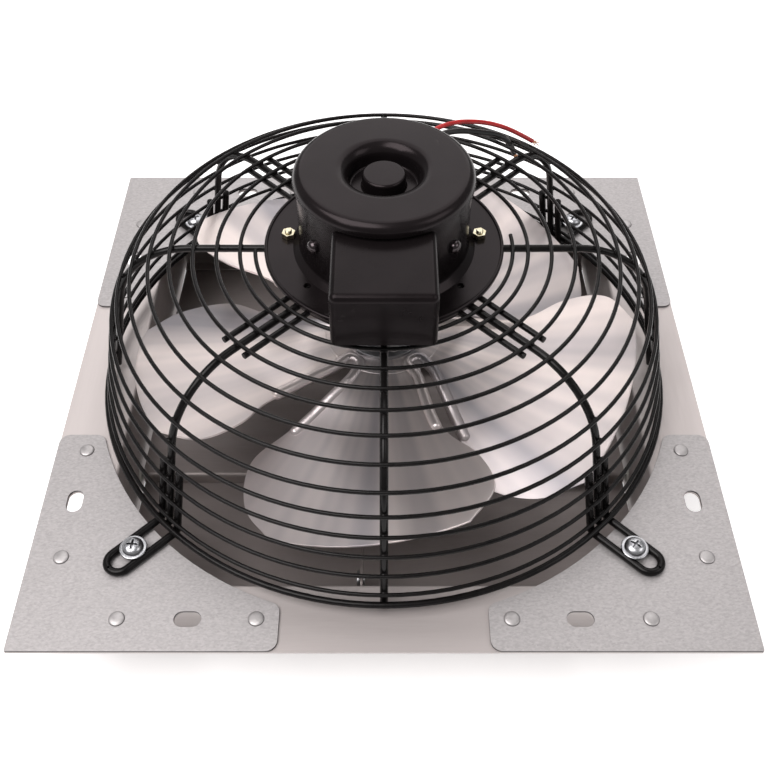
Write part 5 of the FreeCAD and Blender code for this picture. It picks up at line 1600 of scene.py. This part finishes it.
@dataclass
class Impeller:
    """Five pressed blades on a disc, with rolled lips along the gaps, the hub and its rivets."""

    radii: tuple[float, ...] = (30.0, 83.0, 113.0, 138.0, 152.0)
    lead: tuple[float, ...] = (40.0, 23.5, 27.0, 25.0, 17.0)
    trail: tuple[float, ...] = (24.0, 40.0, 42.5, 34.0, 24.0)
    blade_count: int = 5
    level: float = 90.5
    dish: float = 7.5
    sheet: float = 1.4
    bore: float = 4.03
    disc_radius: float = 36.0
    disc_low: float = 90.0
    disc_high: float = 92.4
    disc_round: float = 0.8
    level_turn: float = 8.0
    tip_rise: float = 40.0
    camber: float = 2.5
    camber_turn: float = 38.0
    grid_along: int = 56
    grid_across: int = 36
    lip_wire: float = 6.8
    lip_inset: float = 3.0
    lip_root: float = 29.0
    lip_sink: float = 0.9
    lip_lead_run: tuple[float, ...] = (0.235, 0.18, 0.12, 0.06)
    lip_trail_run: tuple[float, ...] = (0.06, 0.12, 0.18, 0.255)
    lip_bends: tuple[float, ...] = (30.0, 30.0, 12.0, 4.0, 4.0, 12.0, 30.0, 30.0)
    hub_flange: float = 25.0
    hub_flange_sheet: float = 2.5
    hub_neck: float = 12.0
    hub_top: float = 124.4
    hub_rounds: tuple[float, ...] = (0, 0, 0.6, 2, 1, 0.4)
    rivet_circle: float = 18.5
    rivet_tail: tuple[Point, ...] = ((0, -1.6), (2.24, -1.6), (3.2, -0.8), (3.5, 0), (2, 0))
    rivet_head: tuple[Point, ...] = ((2, 0), (3.5, 0), (3.2, 0.8), (2.24, 1.6), (0, 1.6))

    @property
    def step(self) -> float:
        """Angle from one blade to the next."""
        return 360 / self.blade_count

    def build(self) -> None:
        """Make and dress the blades, the hub and its rivets."""
        dress(self.blades(), BLADE, "blade_aluminium", "impeller", "fan_blades")
        dress(self.hub(), HUB, "hub_steel", "impeller", "fan_hub")
        dress(self.rivets(), RIVET, "rivet_aluminium", "impeller", "hub_rivets")

    def edge(self, along: float, angles: Sequence[float], sign: int) -> Point:
        """Place on a blade's edge, on a smooth line through the stations.

        Args:
            along: Place from root, 0, to tip, 1.
            angles: Edge angles at the stations.
            sign: 1 for the leading edge, -1 for the trailing edge.
        Returns:
            Radius, and angle in radians.
        """
        stations = []
        for radius, degrees in zip(self.radii, angles):
            turn = math.radians(degrees)
            stations.append(Vector((radius * math.cos(turn), sign * radius * math.sin(turn))))
        stations = [2 * stations[0] - stations[1], *stations, 2 * stations[-1] - stations[-2]]
        spans = len(self.radii) - 1
        index = min(int(along * spans), spans - 1)
        part = along * spans - index
        before, start, end, after = stations[index:index + 4]
        place = 0.5 * (2 * start + (end - before) * part
                       + (2 * before - 5 * start + 4 * end - after) * part ** 2
                       + (3 * start - before - 3 * end + after) * part ** 3)
        return place.length, math.atan2(place.y, place.x)

    def height(self, radius: float, turn: float) -> float:
        """Height of a blade's underside.

        Args:
            radius: Distance from the axis.
            turn: Angle from the blade's middle in radians.
        Returns:
            The height.
        """
        past = max(0.0, radius - self.disc_radius)
        share = past / (self.radii[-1] - self.disc_radius)
        from_level = turn + math.radians(self.level_turn)
        across = from_level / math.radians(self.camber_turn)
        crown = self.camber * max(0.0, 1 - across * across)
        run = min(1.0, past / (self.radii[1] - self.disc_radius))
        drop = self.dish * run * run * (3 - 2 * run)
        return self.level - drop + share * (self.tip_rise * from_level + crown)

    def on_sheet(self, radius: float, turn: float, lift: float = 0.0) -> Place:
        """Place on the blade's underside, lifted by a distance."""
        return radius * math.cos(turn), radius * math.sin(turn), self.height(radius, turn) + lift

    def blades(self) -> Piece:
        """All blades, their gaps' lips and the disc.

        Returns:
            The joined sheet.
        """
        turns = [turn_z(index * self.step - 90) for index in range(self.blade_count)]
        corners = [
            (self.bore, self.disc_low), (self.disc_radius, self.disc_low), (self.disc_radius, self.disc_high),
            (self.bore, self.disc_high)]
        disc = lathe("disc", rounded(corners, [0, self.disc_round, self.disc_round, 0], steps=3), steps=72)
        return joined("pressed_blades", [
            repeated(self.blade(), turns), repeated(self.gap_lip(), turns), disc])

    def blade(self) -> Piece:
        """One pressed blade as a thickened sheet.

        Returns:
            The blade.
        """
        pick()
        bpy.ops.mesh.primitive_grid_add(
            x_subdivisions=self.grid_along, y_subdivisions=self.grid_across, size=1)
        piece = taken("blade")
        for vertex in piece.data.vertices:
            along, across = vertex.co.x + 0.5, vertex.co.y + 0.5
            lead_radius, lead_turn = self.edge(along, self.lead, 1)
            trail_radius, trail_turn = self.edge(along, self.trail, -1)
            radius = trail_radius + (lead_radius - trail_radius) * across
            turn = trail_turn + (lead_turn - trail_turn) * across
            vertex.co = Vector(self.on_sheet(radius, turn)) * MM
        with editing(piece):
            bpy.ops.mesh.normals_make_consistent(inside=False)
        if piece.data.polygons[0].normal.z < 0:
            piece.data.flip_normals()
        wall = piece.modifiers.new("sheet", "SOLIDIFY")
        wall.thickness = self.sheet * MM
        wall.offset = 1
        apply_modifier(piece, wall)
        return soften(piece, BLADE_EDGE)

    def gap_lip(self) -> Piece:
        """Rolled lip round the gap ahead of a blade: out along both edges from a round end at the disc.

        Returns:
            The lip with its round ends.
        """
        lift = self.sheet - self.lip_sink
        ahead = turn_z(self.step)
        lead_side = [self.edge(along, self.lead, 1) for along in self.lip_lead_run]
        trail_side = [self.edge(along, self.trail, -1) for along in self.lip_trail_run]
        lead_side.append((self.lip_root, lead_side[-1][1]))
        trail_side.insert(0, (self.lip_root, trail_side[0][1]))
        places = [self.on_sheet(radius, turn - self.lip_inset / radius, lift) for radius, turn in lead_side]
        places.extend(
            tuple(ahead @ Vector(self.on_sheet(radius, turn + self.lip_inset / radius, lift)))
            for radius, turn in trail_side)
        lip = wire("lip", places, self.lip_wire, self.lip_bends, fine=8)
        return joined("lip", [lip, self.ball(places[0]), self.ball(places[-1])])

    def ball(self, place: Place) -> Piece:
        """Rounded end of a lip.

        Args:
            place: Its centre.
        Returns:
            The ball.
        """
        pick()
        bpy.ops.mesh.primitive_uv_sphere_add(segments=14, ring_count=8, radius=self.lip_wire / 2 * MM)
        end = taken("lip_end")
        end.data.transform(shift(place))
        return end

    def hub(self) -> Piece:
        """Turned hub with its flange on the disc.

        Returns:
            The hub.
        """
        low, high, bore = self.disc_high, self.hub_top, self.bore
        flange = low + self.hub_flange_sheet
        corners = [
            (bore, low), (self.hub_flange, low), (self.hub_flange, flange), (self.hub_neck, flange),
            (self.hub_neck, high), (bore, high)]
        return lathe("blade_hub", rounded(corners, self.hub_rounds, steps=4), steps=64)

    def rivets(self) -> Piece:
        """Rivets through the disc and the hub's flange.

        Returns:
            The joined rivets.
        """
        flange = self.disc_high + self.hub_flange_sheet
        profile = raised(self.rivet_tail, self.disc_low) + raised(self.rivet_head, flange)
        moves = [around(self.rivet_circle, index * self.step) for index in range(self.blade_count)]
        return repeated(lathe("blade_hub_rivets", profile, steps=24), moves)


@dataclass
class Shutter:
    """Three linked louvres with their cranks, the tie bar, the bushes and the stop."""

    hinges: tuple[float, ...] = (-149.0, -51.0, 47.0)
    hinge_level: float = 12.0
    eye: float = 2.55
    eye_lead: float = 2.4
    half: float = 154.0
    chord: float = 106.0
    free_top: float = 5.0
    sheet: float = 1.0
    hem: float = 7.0
    skirt_level: float = 6.4
    crank_x: float = -15.0
    crank_sheet: float = 1.5
    crank_foot: Point = (5.0, 24.0)
    crank_round: float = 5.0
    pin_out: float = 4.0
    pin_up: float = 31.0
    pin: tuple[Point, ...] = ((0, 0), (2, 0), (2, 2.1), (3.25, 2.1), (3.25, 2.7), (2.6, 3.1), (0, 3.1))
    bar_x: Point = (-13.2, -11.7)
    bar_half: float = 4.5
    bar_end: float = 7.0
    bar_round: float = 4.2
    wall: float = 156.0
    bush: tuple[Point, ...] = ((1.58, -1), (5, -1), (5, 0), (3.5, 0), (3.5, 4), (1.58, 4))
    bush_rounds: tuple[float, ...] = (0, 0.4, 0, 0, 0.5, 0)
    stop_lap: float = 9.0
    stop_gap: float = 0.4
    stop_height: float = 12.0
    stop_rounds: tuple[float, ...] = (0, 1.2, 0, 0, 0.4, 0)

    @property
    def top(self) -> float:
        """Height of a louvre's top face over its hinge."""
        return self.hinge_level + self.eye

    @property
    def slope(self) -> float:
        """Fall of a louvre for each millimetre of its chord."""
        return (self.top - self.free_top) / self.chord

    def build(self) -> None:
        """Make and dress every piece of the shutter."""
        for index, hinge in enumerate(self.hinges, start=1):
            body = f"louvre_{index}"
            leaf = self.leaf(f"shutter_leaf_{index}", hinge)
            dress(leaf, LOUVRE_PAINTED_SHADE, "louvre_aluminium", body, body)
            crank = self.crank(f"shutter_crank_{index}", hinge)
            dress(crank, STEEL, "plain_steel", body, body + "_crank")
        dress(self.bar(), LOUVRE_PAINTED_SHADE, "louvre_aluminium", "tie_bar", "tie_bar")
        dress(self.bushes(), NYLON, "nylon", "frame", "hinge_bushes")
        dress(self.stop(), LOUVRE_PAINTED_SHADE, "louvre_aluminium", "frame", "shutter_stop")

    def leaf(self, name: str, hinge: float) -> Piece:
        """Louvre with its rolled eye, skirt and folded free edge.

        Args:
            name: Name of the piece.
            hinge: Place of its hinge along Y.
        Returns:
            The louvre.
        """
        sheet, lead = self.sheet, self.eye_lead
        root = self.free_top - sheet + self.slope * self.hem
        fold = self.chord - self.hem
        eye = (0, self.hinge_level)
        free_edge = arc((self.chord - sheet, self.free_top - sheet), sheet, 85, -90, steps=8)
        outline = [
            (-self.eye, self.skirt_level), *arc(eye, self.eye, 180, 92, steps=6), *free_edge,
            (fold, root - sheet), (fold, root), (lead, self.top - sheet - self.slope * lead),
            *arc(eye, self.eye, 20, -120, steps=6), (sheet - self.eye, self.skirt_level)]
        places = [(hinge + across, level) for across, level in outline]
        return soften(prism(name, places, -self.half, self.half, Axis.X), LEAF_EDGE)

    def crank(self, name: str, hinge: float) -> Piece:
        """Crank arm with its pin and pin head.

        Args:
            name: Name of the piece.
            hinge: Place of its louvre's hinge along Y.
        Returns:
            The crank.
        """
        pin = (hinge + self.pin_out, self.hinge_level + self.pin_up)
        foot = [(hinge + out, self.top - out * self.slope) for out in self.crank_foot]
        outline = [*foot, *arc(pin, self.crank_round, -20, 200, steps=14)]
        face = self.crank_x + self.crank_sheet
        arm = soften(prism("arm", outline, self.crank_x, face, Axis.X), STAMPED_EDGE)
        stud = repeated(lathe("stud", self.pin, steps=24), [shift((face, *pin)) @ turn_y(90)])
        return joined(name, [arm, stud])

    def bar(self) -> Piece:
        """Tie bar with rounded ends between the crank pins.

        Returns:
            The bar.
        """
        level = self.hinge_level + self.pin_up
        low, high = level - self.bar_half, level + self.bar_half
        first = self.hinges[0] + self.pin_out - self.bar_end
        last = self.hinges[-1] + self.pin_out + self.bar_end
        corners = [(first, low), (last, low), (last, high), (first, high)]
        outline = rounded(corners, [self.bar_round] * 4, steps=6)
        return soften(prism("shutter_tie_bar", outline, *self.bar_x, Axis.X), STAMPED_EDGE)

    def bushes(self) -> Piece:
        """Flanged nylon bushes in the side rails.

        Returns:
            The joined bushes.
        """
        profile = rounded(self.bush, self.bush_rounds, steps=3)
        moves = [
            shift((side * self.wall, hinge, self.hinge_level)) @ turn_y(side * 90)
            for hinge in self.hinges for side in SIDES]
        return repeated(lathe("shutter_bushes", profile, steps=28), moves)

    def stop(self) -> Piece:
        """Folded strip that the last louvre closes against.

        Returns:
            The strip.
        """
        low = self.free_top + self.stop_lap * self.slope + self.stop_gap
        high = low + self.stop_height
        wall, sheet = self.wall, self.sheet
        edge = wall - self.stop_lap
        corners = [
            (edge, low), (wall, low), (wall, high), (wall - sheet, high), (wall - sheet, low + sheet),
            (edge, low + sheet)]
        outline = rounded(corners, self.stop_rounds, steps=4)
        return soften(prism("shutter_stop_strip", outline, -self.half, self.half, Axis.X), LEAF_EDGE)


def dress_kept_nodes(nodes: dict[str, Piece]) -> None:
    """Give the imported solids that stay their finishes.

    Args:
        nodes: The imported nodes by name.
    """
    for name, finish in KEPT_NODES.items():
        nodes[name].data.materials.clear()
        nodes[name].data.materials.append(finish.material())
        log.info("%s keeps its solid", name)


def main() -> None:
    """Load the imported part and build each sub-assembly round it."""
    logging.basicConfig(level=logging.INFO, format="%(name)s: %(message)s")
    for leftover in list(bpy.data.objects):
        bpy.data.objects.remove(leftover)
    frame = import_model()
    for assembly in (Studio(), Leads(), SquareFrame(), WireGuard(), Motor(), Impeller(), Shutter()):
        assembly.build()
    dress_kept_nodes(frame["nodes"])


if __name__ == "__main__":
    main()
